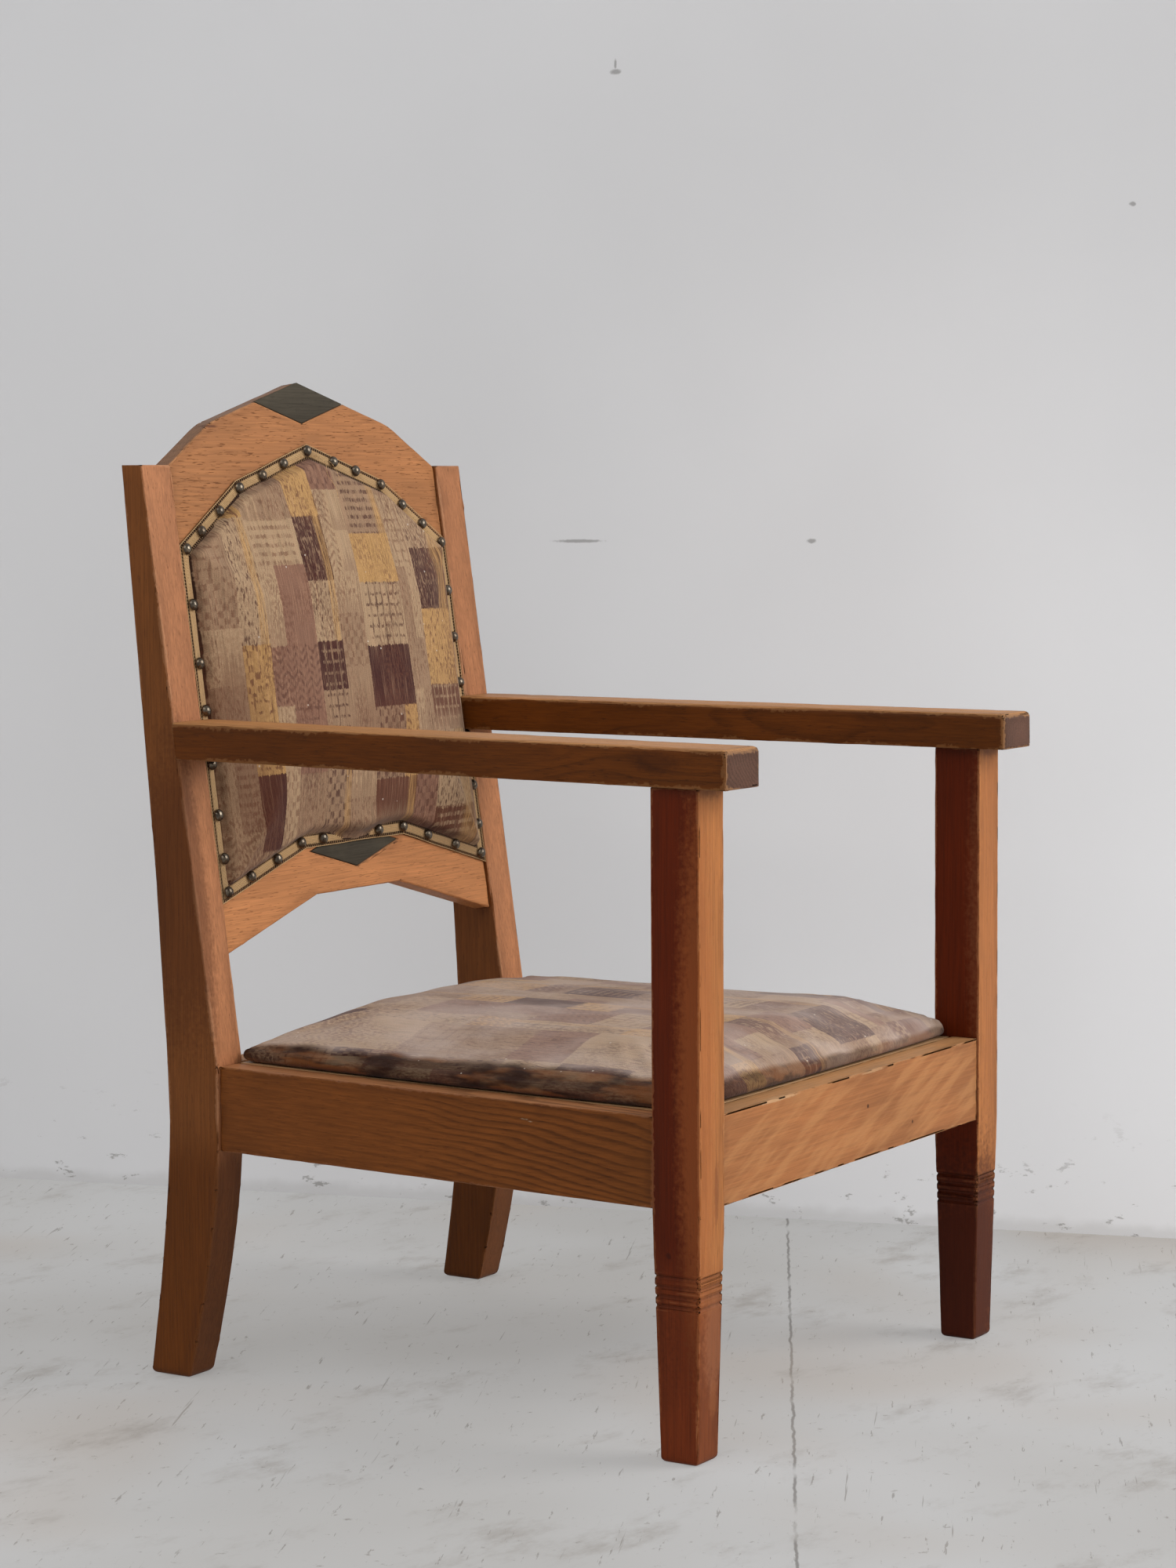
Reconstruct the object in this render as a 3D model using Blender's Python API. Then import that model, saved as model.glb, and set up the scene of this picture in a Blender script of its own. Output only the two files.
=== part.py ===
"""Oak armchair with a raked padded back and a loose padded seat.

Metres, +Z up, the chair faces -Y. Pieces are drawn from the front posts' front face (Y = 0) and the
floor (Z = 0), then hang from an empty that centres the chair on the origin. The back's boards are
drawn flat, x across and z up the rake, under an empty that leans with the back.
"""
import math

import bmesh
import bpy
from mathutils import Vector

# Running clearance between touching pieces
GAP = 0.0003

# Plan: outer widths of the frame, front posts and rear legs
FRONT_WIDTH = 0.580
REAR_WIDTH = 0.528
POST_WIDTH = 0.0429
POST_DEPTH = 0.0481
REAR_LEG_Y = 0.538
REAR_LEG_DEPTH = 0.058
REAR_LEG_WIDTH_TOP = 0.044
REAR_LEG_WIDTH_FOOT = 0.037

# Heights
RAIL_BOTTOM = 0.2208
RAIL_HEIGHT = 0.080
RAIL_TOP = RAIL_BOTTOM + RAIL_HEIGHT
ARM_UNDER = 0.5845
STILE_TOP = 0.8622

# Rear leg sweep below the rails and lean above them
RAKE = math.radians(8.0)
FOOT_SWEEP_FRONT = 0.038
FOOT_SWEEP_BACK = 0.0265
FOOT_SWEEP_POWER = 1.5
SWEEP_TOP = 0.245
BACK_LEAN = 0.045
BACK_LEAN_POWER = 1.35

# Front leg taper and its reeded band
TAPER_START_DROP = 0.003
FOOT_TAPER_X = 0.0035
FOOT_TAPER_Y = 0.0056
BAND_LOW = 0.1375
REED_PITCH = 0.0085
REED_GROOVES = 4
GROOVE_WIDTH = 0.0032
GROOVE_DEPTH = 0.0016
ARRIS = 0.0012

# Seat rails and their tenons
RAIL_THICK = 0.027
FRONT_RECESS = 0.002
REAR_RECESS = 0.002
SIDE_RECESS_FRONT = 0.0031
SIDE_RECESS_REAR = 0.0038
TENON_THICK = 0.009
TENON_SHOULDER = 0.013
TENON_LONG = 0.020
TENON_SHORT = 0.014

# Arms
ARM_THICK = 0.0345
ARM_WIDTH = 0.0605
ARM_RISE = 0.0033
ARM_OVERHANG = 0.031
ARM_PROUD_FRONT = 0.0079
ARM_PROUD_REAR = 0.0045
ARM_ARRIS = 0.0045
ARM_CORNER_INNER = 0.0055
ARM_CORNER_OUTER = 0.004
POST_TENON_WIDTH = 0.024
POST_TENON_DEPTH = 0.028
POST_TENON_LONG = 0.018
DOWEL_RADIUS = 0.005
DOWEL_IN_ARM = 0.024
DOWEL_IN_STILE = 0.013
DOWEL_SPACING = 0.024

# Back boards, drawn on the rake: heights are measured up the slope from the rail top
BOARD_THICK = 0.020
BOARD_RECESS = 0.0035
CREST_KNEE_X = 0.148
CREST_KNEE_RISE = 0.042
CREST_APEX_RISE = 0.0836
CREST_SOFTEN = 0.010
CREST_SHOWN = 0.0759
COVER_KNEE_X = 0.123
COVER_KNEE_RISE = 0.061
COVER_APEX_RISE = 0.0975
COVER_FOOT = 0.149
COVER_FLAT_X = 0.082
COVER_FLAT_RISE = 0.0415
LOWER_RAIL_END_DROP = 0.0477
LOWER_RAIL_KNEE_X = 0.070
LOWER_RAIL_KNEE_RISE = 0.043
BOARD_MARGIN = 0.030
BOARD_TENON_THICK = 0.008
BOARD_TENON_HEIGHT = 0.045
BOARD_TENON_LONG = 0.018
DIAMOND_HALF_WIDTH = 0.0724
DIAMOND_THICK = 0.004
LOWER_DIAMOND_DROP = 0.0038

# Back upholstery
CLOTH = 0.0012
BRAID_WIDTH = 0.015
BRAID_THICK = 0.0012
BACK_CROWN = 0.029
BACK_WALL = 0.010
BACK_ROUND = 2.2
WEB_THICK = 0.001
HESSIAN_THICK = 0.0006
WEB_LAP = 0.008
PAD_WALL = 0.003
BACK_WEB_WIDTH = 0.050
BACK_WEB_UPRIGHTS = 3
BACK_WEB_CROSSES = 3
NAIL_RADIUS = 0.0058
NAIL_HEIGHT = 0.0048
NAIL_ARM_GAP = 0.003
NAILS_TOP = 12
NAILS_BOTTOM = 10
NAILS_SIDE_RUN = 3

# Seat battens and corner blocks
BATTEN = 0.016
BLOCK_HEIGHT = 0.034
BLOCK_REACH_FRONT = 0.058
BLOCK_REACH_REAR = 0.046
SCREW_RADIUS = 0.0022
SCREW_HEAD_RADIUS = 0.0042
SCREW_HEAD = 0.003
SCREW_SINK = 0.0085
SCREW_BITE = 0.014

# Loose seat
SEAT_CLEAR = 0.0025
SEAT_FRAME_THICK = 0.021
SLAT_WIDTH = 0.045
SEAT_WEB_WIDTH = 0.052
SEAT_WEBS_LONG = 4
SEAT_WEBS_CROSS = 4
SEAT_CROWN = 0.044
SEAT_WALL = 0.018
SEAT_ROUND_ACROSS = 3.6
SEAT_ROUND_ALONG = 8.5
SEAT_BULGE_SIDE = 0.010
SEAT_BULGE_FRONT = 0.005
SEAT_BULGE_REAR = 0.001
SEAT_RIM = 0.06
PAD_PITCH = 0.036

# Places that follow from the sizes above
POST_INNER = FRONT_WIDTH / 2 - POST_WIDTH
POST_TOP = ARM_UNDER - GAP
RAIL_MID = (RAIL_BOTTOM + RAIL_TOP) / 2
TENON_HALF_HEIGHT = RAIL_HEIGHT / 2 - TENON_SHOULDER
ARM_TOP = ARM_UNDER + ARM_THICK
STILE_TOP_SLOPE = (STILE_TOP - RAIL_TOP) / math.cos(RAKE)
COVER_SHOULDER = STILE_TOP_SLOPE - CREST_SHOWN
BOARD_FRONT = BOARD_RECESS
BOARD_BACK = BOARD_RECESS + BOARD_THICK
BRAID_BACK = BOARD_FRONT - 2 * GAP - CLOTH
BRAID_FRONT = BRAID_BACK - BRAID_THICK
DIAMOND_HALF_HEIGHT = DIAMOND_HALF_WIDTH * (CREST_APEX_RISE - CREST_KNEE_RISE) / CREST_KNEE_X
SEAT_FRAME_UNDER = RAIL_TOP - SEAT_FRAME_THICK
SEAT_FRAME_FRONT = FRONT_RECESS + RAIL_THICK + SEAT_CLEAR
SEAT_FRAME_REAR = REAR_LEG_Y - SEAT_CLEAR
BATTEN_TOP = SEAT_FRAME_UNDER - GAP
BLOCK_TOP = BATTEN_TOP - BATTEN - GAP
ACROSS = Vector((1, 0, 0))
AWAY = Vector((0, 1, 0))
UP = Vector((0, 0, 1))


def lerp(a, b, t):
    """Value part of the way from a to b."""
    return a + (b - a) * t


def leg_inner_x(z):
    """Half-width between the rear legs at a height: the legs thicken inwards to the top."""
    return REAR_WIDTH / 2 - lerp(REAR_LEG_WIDTH_FOOT, REAR_LEG_WIDTH_TOP, z / STILE_TOP)


def board_end_x(slope):
    """Half-length of a back board at a height up the rake, clear of the stile."""
    return leg_inner_x(RAIL_TOP + slope * math.cos(RAKE)) - GAP


def leg_front_y(z):
    """Front edge of the rear leg: raked above the rail, swept back to the foot below it."""
    if z >= RAIL_TOP:
        return REAR_LEG_Y + (z - RAIL_TOP) * math.tan(RAKE)
    drop = max(0.0, (RAIL_BOTTOM - z) / RAIL_BOTTOM)
    return REAR_LEG_Y + FOOT_SWEEP_FRONT * drop ** FOOT_SWEEP_POWER


def leg_back_y(z):
    """Back edge of the rear leg: swept foot, upright at the rail, leaning above."""
    back = REAR_LEG_Y + REAR_LEG_DEPTH
    if z < SWEEP_TOP:
        return back + FOOT_SWEEP_BACK * ((SWEEP_TOP - z) / SWEEP_TOP) ** FOOT_SWEEP_POWER
    return back + BACK_LEAN * ((z - SWEEP_TOP) / (STILE_TOP - SWEEP_TOP)) ** BACK_LEAN_POWER


def side_outer_x(y):
    """Outer face of a side rail in plan, between the post and the rear leg."""
    t = (y - POST_DEPTH) / (REAR_LEG_Y - POST_DEPTH)
    return lerp(FRONT_WIDTH / 2 - SIDE_RECESS_FRONT, REAR_WIDTH / 2 - SIDE_RECESS_REAR, t)


def side_inner_x(y):
    """Inner face of a side rail in plan."""
    return side_outer_x(y) - RAIL_THICK


def arm_outer_x(y):
    """Outer face of an arm in plan."""
    t = (y + ARM_OVERHANG) / (leg_front_y(ARM_UNDER) + ARM_OVERHANG)
    return lerp(FRONT_WIDTH / 2 + ARM_PROUD_FRONT, REAR_WIDTH / 2 + ARM_PROUD_REAR, t)


def arm_rise(y):
    """How much higher an arm lies at a depth than over the front of its post."""
    return ARM_RISE * y / REAR_LEG_Y


def clear_scene():
    """Remove every object, so that the script gives the same model each time."""
    for old in list(bpy.data.objects):
        bpy.data.objects.remove(old)


def finish(name, colour, roughness, metallic=0.0):
    """Principled material for one piece."""
    material = bpy.data.materials.new(name)
    material.use_nodes = True
    shader = material.node_tree.nodes["Principled BSDF"]
    shader.inputs["Base Color"].default_value = (*colour, 1.0)
    shader.inputs["Roughness"].default_value = roughness
    shader.inputs["Metallic"].default_value = metallic
    return material


def oak(name):
    """Stained oak of the show frame."""
    return finish(name + "_oak", (0.36, 0.19, 0.085), 0.5)


def dark_wood(name):
    """Ebonised inlay."""
    return finish(name + "_dark", (0.07, 0.065, 0.045), 0.45)


def beech(name):
    """Plain wood inside the seat."""
    return finish(name + "_beech", (0.55, 0.38, 0.2), 0.65)


def cover_cloth(name):
    """Printed plush of the covers."""
    return finish(name + "_plush", (0.42, 0.31, 0.2), 0.95)


def trim(name):
    """Straw-coloured woven braid."""
    return finish(name + "_trim", (0.6, 0.42, 0.2), 0.9)


def jute(name):
    """Jute webbing and hessian."""
    return finish(name + "_jute", (0.4, 0.29, 0.16), 1.0)


def bronze(name):
    """Dark patinated metal of the nails and screws."""
    return finish(name + "_bronze", (0.16, 0.13, 0.1), 0.35, 1.0)


def empty(name, location, parent=None, lean=0.0):
    """Empty that carries pieces; lean turns it back about X."""
    holder = bpy.data.objects.new(name, None)
    bpy.context.collection.objects.link(holder)
    holder.location = location
    holder.rotation_euler = (-lean, 0, 0)
    holder.parent = parent
    return holder


def piece(name, bm, material, parent):
    """Turn a bmesh into a named object under its parent."""
    bmesh.ops.remove_doubles(bm, verts=bm.verts, dist=1e-6)
    bmesh.ops.recalc_face_normals(bm, faces=bm.faces)
    mesh = bpy.data.meshes.new(name)
    bm.to_mesh(mesh)
    bm.free()
    made = bpy.data.objects.new(name, mesh)
    bpy.context.collection.objects.link(made)
    made.parent = parent
    if material:
        mesh.materials.append(material)
    return made


def cut(target, bm):
    """Cut the shapes in bm out of a piece, in the piece's own frame."""
    cutter = piece(target.name + "_cutter", bm, None, target.parent)
    cutter.hide_render = True
    cutter.display_type = "WIRE"
    modifier = target.modifiers.new("cut", "BOOLEAN")
    modifier.operation = "DIFFERENCE"
    modifier.solver = "EXACT"
    modifier.object = cutter


def loft(rings, bm=None, close=False):
    """Bridge rings of equal length; cap both ends, or close the last ring onto the first."""
    bm = bm or bmesh.new()
    loops = [[bm.verts.new(point) for point in ring] for ring in rings]
    pairs = list(zip(loops, loops[1:]))
    if close:
        pairs.append((loops[-1], loops[0]))
    for low, high in pairs:
        for i in range(len(low)):
            j = (i + 1) % len(low)
            bm.faces.new((low[i], low[j], high[j], high[i]))
    if not close:
        bm.faces.new(loops[0][::-1])
        bm.faces.new(loops[-1])
    return bm


def plan_prism(points, low, high, bm=None):
    """Upright prism over a plan outline."""
    return loft([[(x, y, z) for x, y in points] for z in (low, high)], bm)


def board_prism(points, front, back, bm=None):
    """Prism over an outline drawn across and up, from front to back."""
    return loft([[(x, y, z) for x, z in points] for y in (front, back)], bm)


def end_face(bm, direction):
    """The face that looks most nearly along a direction."""
    bm.normal_update()
    bmesh.ops.recalc_face_normals(bm, faces=bm.faces)
    bm.normal_update()
    return max(bm.faces, key=lambda face: face.normal.dot(Vector(direction)) * face.calc_area() ** 0.1)


def add_tenon(bm, face, centre, half_a, axis_a, half_b, axis_b, push):
    """Grow a tenon out of a flat end face."""
    corners = list(face.verts)
    base = []
    for vert in corners:
        offset = vert.co - centre
        side_a = math.copysign(half_a, offset.dot(axis_a))
        side_b = math.copysign(half_b, offset.dot(axis_b))
        base.append(bm.verts.new(centre + side_a * axis_a + side_b * axis_b))
    tip = [bm.verts.new(vert.co + push) for vert in base]
    bm.faces.remove(face)
    for i in range(len(corners)):
        j = (i + 1) % len(corners)
        bm.faces.new((corners[i], corners[j], base[j], base[i]))
        bm.faces.new((base[i], base[j], tip[j], tip[i]))
    bm.faces.new(tip)


def add_mortise(bm, mouth, half_a, axis_a, half_b, axis_b, push):
    """Add the box that clears a tenon: it starts outside the mouth and runs past the tip."""
    along = push.normalized()
    near = mouth - along * RAIL_THICK / 8
    far = mouth + push + along * GAP
    wide_a = axis_a * (half_a + GAP)
    wide_b = axis_b * (half_b + GAP)
    rings = []
    for spot in (near, far):
        rings.append([spot - wide_a - wide_b, spot + wide_a - wide_b,
                      spot + wide_a + wide_b, spot - wide_a + wide_b])
    loft(rings, bm)


def add_turned(bm, start, along, profile, sides=12):
    """Add a turned shape: pairs of distance along its axis and radius."""
    turn = Vector(along).to_track_quat("Z", "Y").to_matrix()
    rings = []
    for distance, radius in profile:
        ring = []
        for i in range(sides):
            angle = math.tau * i / sides
            ring.append(start + turn @ Vector((radius * math.cos(angle), radius * math.sin(angle), distance)))
        rings.append(ring)
    loft(rings, bm)


def inset_outline(points, distance):
    """Move every edge of an anticlockwise outline inwards by a distance."""
    moved = []
    count = len(points)
    for i, point in enumerate(points):
        before = Vector(points[i - 1])
        here = Vector(point)
        after = Vector(points[(i + 1) % count])
        in_a = Vector((-(here - before).y, (here - before).x)).normalized()
        in_b = Vector((-(after - here).y, (after - here).x)).normalized()
        moved.append(here + (in_a + in_b) * distance / (1 + in_a.dot(in_b)))
    return [(p.x, p.y) for p in moved]


def soften(points, corners, cut_back):
    """Replace the numbered corners of an outline by short rounds."""
    result = []
    for i, point in enumerate(points):
        if i not in corners:
            result.append(point)
            continue
        here = Vector(point)
        before = here + (Vector(points[i - 1]) - here).normalized() * cut_back
        after = here + (Vector(points[(i + 1) % len(points)]) - here).normalized() * cut_back
        middle = (before + after) / 4 + here / 2
        result += [tuple(before), tuple(middle), tuple(after)]
    return result


def divide(points, pitch):
    """Points along a closed outline, its corners kept, no further apart than a pitch."""
    result = []
    for i, point in enumerate(points):
        here = Vector(point)
        after = Vector(points[(i + 1) % len(points)])
        steps = max(1, math.ceil((after - here).length / pitch))
        result += [tuple(here.lerp(after, k / steps)) for k in range(steps)]
    return result


def mirrored(half):
    """Whole outline from its right half, listed upwards from the middle of the bottom edge."""
    return half + [(-x, y) for x, y in reversed(half) if x > 0]


def span_at(points, x):
    """Lowest and highest crossing of an outline at an x."""
    hits = []
    for i, (ax, ay) in enumerate(points):
        bx, by = points[(i + 1) % len(points)]
        if ax != bx and min(ax, bx) <= x <= max(ax, bx):
            hits.append(ay + (by - ay) * (x - ax) / (bx - ax))
    return min(hits), max(hits)


def leg_section(z, inner, outer, front, back, arris):
    """Level section of a leg with its corners taken off; inner and outer are distances from the middle."""
    return [(inner + arris, front, z), (outer - arris, front, z), (outer, front + arris, z),
            (outer, back - arris, z), (outer - arris, back, z), (inner + arris, back, z),
            (inner, back - arris, z), (inner, front + arris, z)]


def flip(points, side):
    """Place points drawn for the right side on either side; side is 1 or -1."""
    return [(x * side, y, z) for x, y, z in points]


def groove_heights():
    """Height and depth of each groove edge and bottom up the reeded band."""
    steps = []
    for i in range(REED_GROOVES):
        middle = BAND_LOW + i * REED_PITCH
        steps += [(middle - GROOVE_WIDTH / 2, 0.0), (middle, GROOVE_DEPTH), (middle + GROOVE_WIDTH / 2, 0.0)]
    return steps


def front_leg(side, name, root):
    """Square post with a tapered, reeded foot and a tenon for the arm."""
    taper_top = RAIL_BOTTOM - TAPER_START_DROP
    levels = [(0.0, 0.0)] + groove_heights() + [(taper_top, 0.0), (POST_TOP, 0.0)]
    rings = []
    for z, depth in levels:
        share = max(0.0, 1 - z / taper_top)
        in_x = FOOT_TAPER_X * share + depth
        in_y = FOOT_TAPER_Y * share + depth
        rings.append(flip(leg_section(z, POST_INNER + in_x, FRONT_WIDTH / 2 - in_x, in_y,
                                      POST_DEPTH - in_y, ARRIS), side))
    middle = FRONT_WIDTH / 2 - POST_WIDTH / 2
    for z in (POST_TOP, POST_TOP + POST_TENON_LONG):
        rings.append(flip(leg_section(z, middle - POST_TENON_WIDTH / 2, middle + POST_TENON_WIDTH / 2,
                                      POST_DEPTH / 2 - POST_TENON_DEPTH / 2,
                                      POST_DEPTH / 2 + POST_TENON_DEPTH / 2, ARRIS), side))
    leg = piece(name, loft(rings), oak(name), root)
    cutter = bmesh.new()
    across = Vector((side, 0, 0))
    add_mortise(cutter, Vector((side * POST_INNER, FRONT_RECESS + RAIL_THICK / 2, RAIL_MID)),
                TENON_THICK / 2, AWAY, TENON_HALF_HEIGHT, UP, across * TENON_LONG)
    add_mortise(cutter, side_tenon_foot(side, POST_DEPTH), TENON_THICK / 2, ACROSS,
                TENON_HALF_HEIGHT, UP, -side_run(side) * TENON_SHORT)
    cut(leg, cutter)


def side_run(side):
    """Direction of a side rail, front to back."""
    drift = side_outer_x(REAR_LEG_Y) - side_outer_x(POST_DEPTH)
    return Vector((side * drift, REAR_LEG_Y - POST_DEPTH, 0)).normalized()


def side_tenon_foot(side, y):
    """Middle of a side rail's end at a depth."""
    return Vector((side * (side_outer_x(y) - RAIL_THICK / 2), y, RAIL_MID))


def rear_leg_levels():
    """Heights at which the rear leg's outline bends."""
    below = [RAIL_BOTTOM * (i / 6) for i in range(6)]
    above = [lerp(RAIL_TOP, STILE_TOP, i / 6) for i in range(7)]
    return below + [RAIL_BOTTOM, SWEEP_TOP] + above


def rear_leg(side, name, root):
    """Rear leg and back stile in one piece."""
    rings = []
    for z in rear_leg_levels():
        rings.append(flip(leg_section(z, leg_inner_x(z), REAR_WIDTH / 2, leg_front_y(z), leg_back_y(z),
                                      ARRIS), side))
    leg = piece(name, loft(rings), oak(name), root)
    cutter = bmesh.new()
    add_mortise(cutter, side_tenon_foot(side, REAR_LEG_Y), TENON_THICK / 2, ACROSS,
                TENON_HALF_HEIGHT, UP, side_run(side) * TENON_SHORT)
    rail_end = Vector((side * leg_inner_x(RAIL_MID), REAR_LEG_Y + REAR_RECESS + RAIL_THICK / 2, RAIL_MID))
    add_mortise(cutter, rail_end, TENON_THICK / 2, AWAY, TENON_HALF_HEIGHT, UP,
                Vector((side * TENON_SHORT, 0, 0)))
    for slope in (crest_tenon_slope(), lower_tenon_slope()):
        mouth = on_rake(side * board_end_x(slope), (BOARD_FRONT + BOARD_BACK) / 2, slope)
        add_mortise(cutter, mouth, BOARD_TENON_THICK / 2, rake_back(), BOARD_TENON_HEIGHT / 2, rake_up(),
                    Vector((side * BOARD_TENON_LONG, 0, 0)))
    for spot in dowel_spots(side):
        add_turned(cutter, spot, AWAY, [(-ARM_THICK, DOWEL_RADIUS + GAP),
                                        (DOWEL_IN_STILE + GAP, DOWEL_RADIUS + GAP)])
    cut(leg, cutter)


def rake_up():
    """Direction up the back."""
    return Vector((0, math.sin(RAKE), math.cos(RAKE)))


def rake_back():
    """Direction square to the back, away from the sitter."""
    return Vector((0, math.cos(RAKE), -math.sin(RAKE)))


def on_rake(x, depth, slope):
    """Place of a point of the back in the chair's frame."""
    return Vector((x, REAR_LEG_Y, RAIL_TOP)) + rake_back() * depth + rake_up() * slope


def front_rail(root):
    """Front seat rail with a tenon at each end."""
    end = POST_INNER - GAP
    low, high = FRONT_RECESS, FRONT_RECESS + RAIL_THICK
    bm = plan_prism([(-end, low), (end, low), (end, high), (-end, high)], RAIL_BOTTOM, RAIL_TOP)
    for side in (-1, 1):
        across = Vector((side, 0, 0))
        add_tenon(bm, end_face(bm, across), Vector((side * end, (low + high) / 2, RAIL_MID)),
                  TENON_THICK / 2, AWAY, TENON_HALF_HEIGHT, UP, across * TENON_LONG)
    drill_rail(piece("front_seat_rail", bm, oak("front_seat_rail"), root), "front")


def drill_rail(rail, end):
    """Sink the holes for the corner blocks' screws."""
    cutter = bmesh.new()
    for side in (-1, 1):
        screw_bore(cutter, side, end)
    cut(rail, cutter)


def rear_rail(root):
    """Rear seat rail between the rear legs; its ends follow the legs' inner taper."""
    low, high = REAR_LEG_Y + REAR_RECESS, REAR_LEG_Y + REAR_RECESS + RAIL_THICK
    rings = []
    for y in (low, high):
        rings.append([(x * (leg_inner_x(z) - GAP), y, z) for x, z in
                      ((-1, RAIL_BOTTOM), (1, RAIL_BOTTOM), (1, RAIL_TOP), (-1, RAIL_TOP))])
    bm = loft(rings)
    for side in (-1, 1):
        end = Vector((side * (leg_inner_x(RAIL_MID) - GAP), (low + high) / 2, RAIL_MID))
        add_tenon(bm, end_face(bm, (side, 0, 0)), end, TENON_THICK / 2, AWAY,
                  TENON_HALF_HEIGHT, UP, Vector((side * TENON_SHORT, 0, 0)))
    drill_rail(piece("rear_seat_rail", bm, oak("rear_seat_rail"), root), "rear")


def side_rail(side, name, root):
    """Side seat rail, drawn in plan along the chair's taper."""
    front, back = POST_DEPTH + GAP, REAR_LEG_Y - GAP
    outline = [(side * side_outer_x(front), front), (side * side_outer_x(back), back),
               (side * side_inner_x(back), back), (side * side_inner_x(front), front)]
    bm = plan_prism(outline, RAIL_BOTTOM, RAIL_TOP)
    for y, way in ((front, -1), (back, 1)):
        add_tenon(bm, end_face(bm, (0, way, 0)), side_tenon_foot(side, y), TENON_THICK / 2,
                  ACROSS, TENON_HALF_HEIGHT, UP, side_run(side) * way * TENON_SHORT)
    piece(name, bm, oak(name), root)


def dowel_spots(side):
    """Places on the stile's front face where the arm's dowels enter it."""
    z = ARM_UNDER + arm_rise(REAR_LEG_Y) + ARM_THICK / 2
    inner = leg_inner_x(z)
    outer = min(REAR_WIDTH / 2, arm_outer_x(REAR_LEG_Y))
    middle = (inner + outer) / 2
    return [Vector((side * (middle + shift * DOWEL_SPACING / 2), leg_front_y(z), z)) for shift in (-1, 1)]


def arm(side, name, root):
    """Flat arm: rounded front corners, eased top edges, rear end cut to the rake."""
    front = -ARM_OVERHANG
    rear = leg_front_y(ARM_UNDER) - GAP / math.cos(RAKE)
    outline = [(arm_outer_x(front), front), (arm_outer_x(rear), rear),
               (arm_outer_x(rear) - ARM_WIDTH, rear), (arm_outer_x(front) - ARM_WIDTH, front)]
    outline = soften(outline, {3}, ARM_CORNER_INNER)
    outline = soften(outline, {0}, ARM_CORNER_OUTER)
    bm = plan_prism([(side * x, y) for x, y in outline], ARM_UNDER, ARM_TOP)
    for vert in bm.verts:
        vert.co.z += arm_rise(vert.co.y)
        if vert.co.y > rear - GAP:
            vert.co.y = leg_front_y(vert.co.z) - GAP / math.cos(RAKE)
    rim = [edge for edge in end_face(bm, (0, 0, 1)).edges if min(v.co.y for v in edge.verts) < rear - GAP]
    bmesh.ops.bevel(bm, geom=rim, offset=ARM_ARRIS, segments=2, profile=0.5, affect="EDGES",
                    clamp_overlap=True)
    made = piece(name, bm, oak(name), root)
    cutter = bmesh.new()
    foot = Vector((side * (FRONT_WIDTH / 2 - POST_WIDTH / 2), POST_DEPTH / 2, ARM_UNDER))
    add_mortise(cutter, foot, POST_TENON_WIDTH / 2, ACROSS, POST_TENON_DEPTH / 2, AWAY, UP * POST_TENON_LONG)
    for spot in dowel_spots(side):
        add_turned(cutter, spot, AWAY, [(-DOWEL_IN_ARM - GAP, DOWEL_RADIUS + GAP),
                                        (ARM_THICK, DOWEL_RADIUS + GAP)])
    cut(made, cutter)


def arm_dowels(side, hand, root):
    """Two dowels from an arm into its stile."""
    for spot, place in zip(dowel_spots(side), ("inner", "outer")):
        bm = bmesh.new()
        add_turned(bm, spot, AWAY, [(-DOWEL_IN_ARM, DOWEL_RADIUS), (DOWEL_IN_STILE, DOWEL_RADIUS)])
        name = f"arm_dowel_{hand}_{place}"
        piece(name, bm, beech(name), root)


def cover_outline():
    """Edge of the padded panel, anticlockwise from the bottom right of the middle."""
    foot = (board_end_x(COVER_FOOT), COVER_FOOT)
    shoulder = (board_end_x(COVER_SHOULDER), COVER_SHOULDER)
    half = [(COVER_FLAT_X, COVER_FOOT + COVER_FLAT_RISE), foot, shoulder,
            (COVER_KNEE_X, COVER_SHOULDER + COVER_KNEE_RISE), (0.0, COVER_SHOULDER + COVER_APEX_RISE)]
    return mirrored(half)


def crest_tenon_slope():
    """Height of the crest rail's tenons up the rake."""
    return STILE_TOP_SLOPE - BOARD_MARGIN - BOARD_TENON_HEIGHT / 2


def lower_tenon_slope():
    """Height of the lower rail's tenons up the rake."""
    return COVER_FOOT - LOWER_RAIL_END_DROP / 2 + BOARD_TENON_HEIGHT / 5


def diamond(middle):
    """Outline of a lozenge, its sides as steep as the crest's top."""
    return [(0.0, middle - DIAMOND_HALF_HEIGHT), (DIAMOND_HALF_WIDTH, middle),
            (0.0, middle + DIAMOND_HALF_HEIGHT), (-DIAMOND_HALF_WIDTH, middle)]


def sinking(middle, open_top):
    """Outline that clears a lozenge; an open top runs out of the board above it."""
    grow = GAP * 1.5
    wide = DIAMOND_HALF_WIDTH + grow * DIAMOND_HALF_WIDTH / DIAMOND_HALF_HEIGHT
    tall = DIAMOND_HALF_HEIGHT + grow
    half = [(0.0, middle - tall), (wide, middle)]
    if open_top:
        return mirrored_ring(half + [(wide, middle + BOARD_THICK), (0.0, middle + tall + BOARD_THICK)])
    return mirrored_ring(half + [(0.0, middle + tall)])


def crest_diamond_middle():
    """Height of the upper lozenge, whose top point is the crest's own."""
    return STILE_TOP_SLOPE + CREST_APEX_RISE - DIAMOND_HALF_HEIGHT


def lower_diamond_middle():
    """Height of the lower lozenge, half under the cover's bottom edge."""
    return COVER_FOOT + COVER_FLAT_RISE - LOWER_DIAMOND_DROP


def opening_outline():
    """Opening inside the back's boards, behind the padding."""
    return inset_outline(cover_outline(), BOARD_MARGIN)


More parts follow.
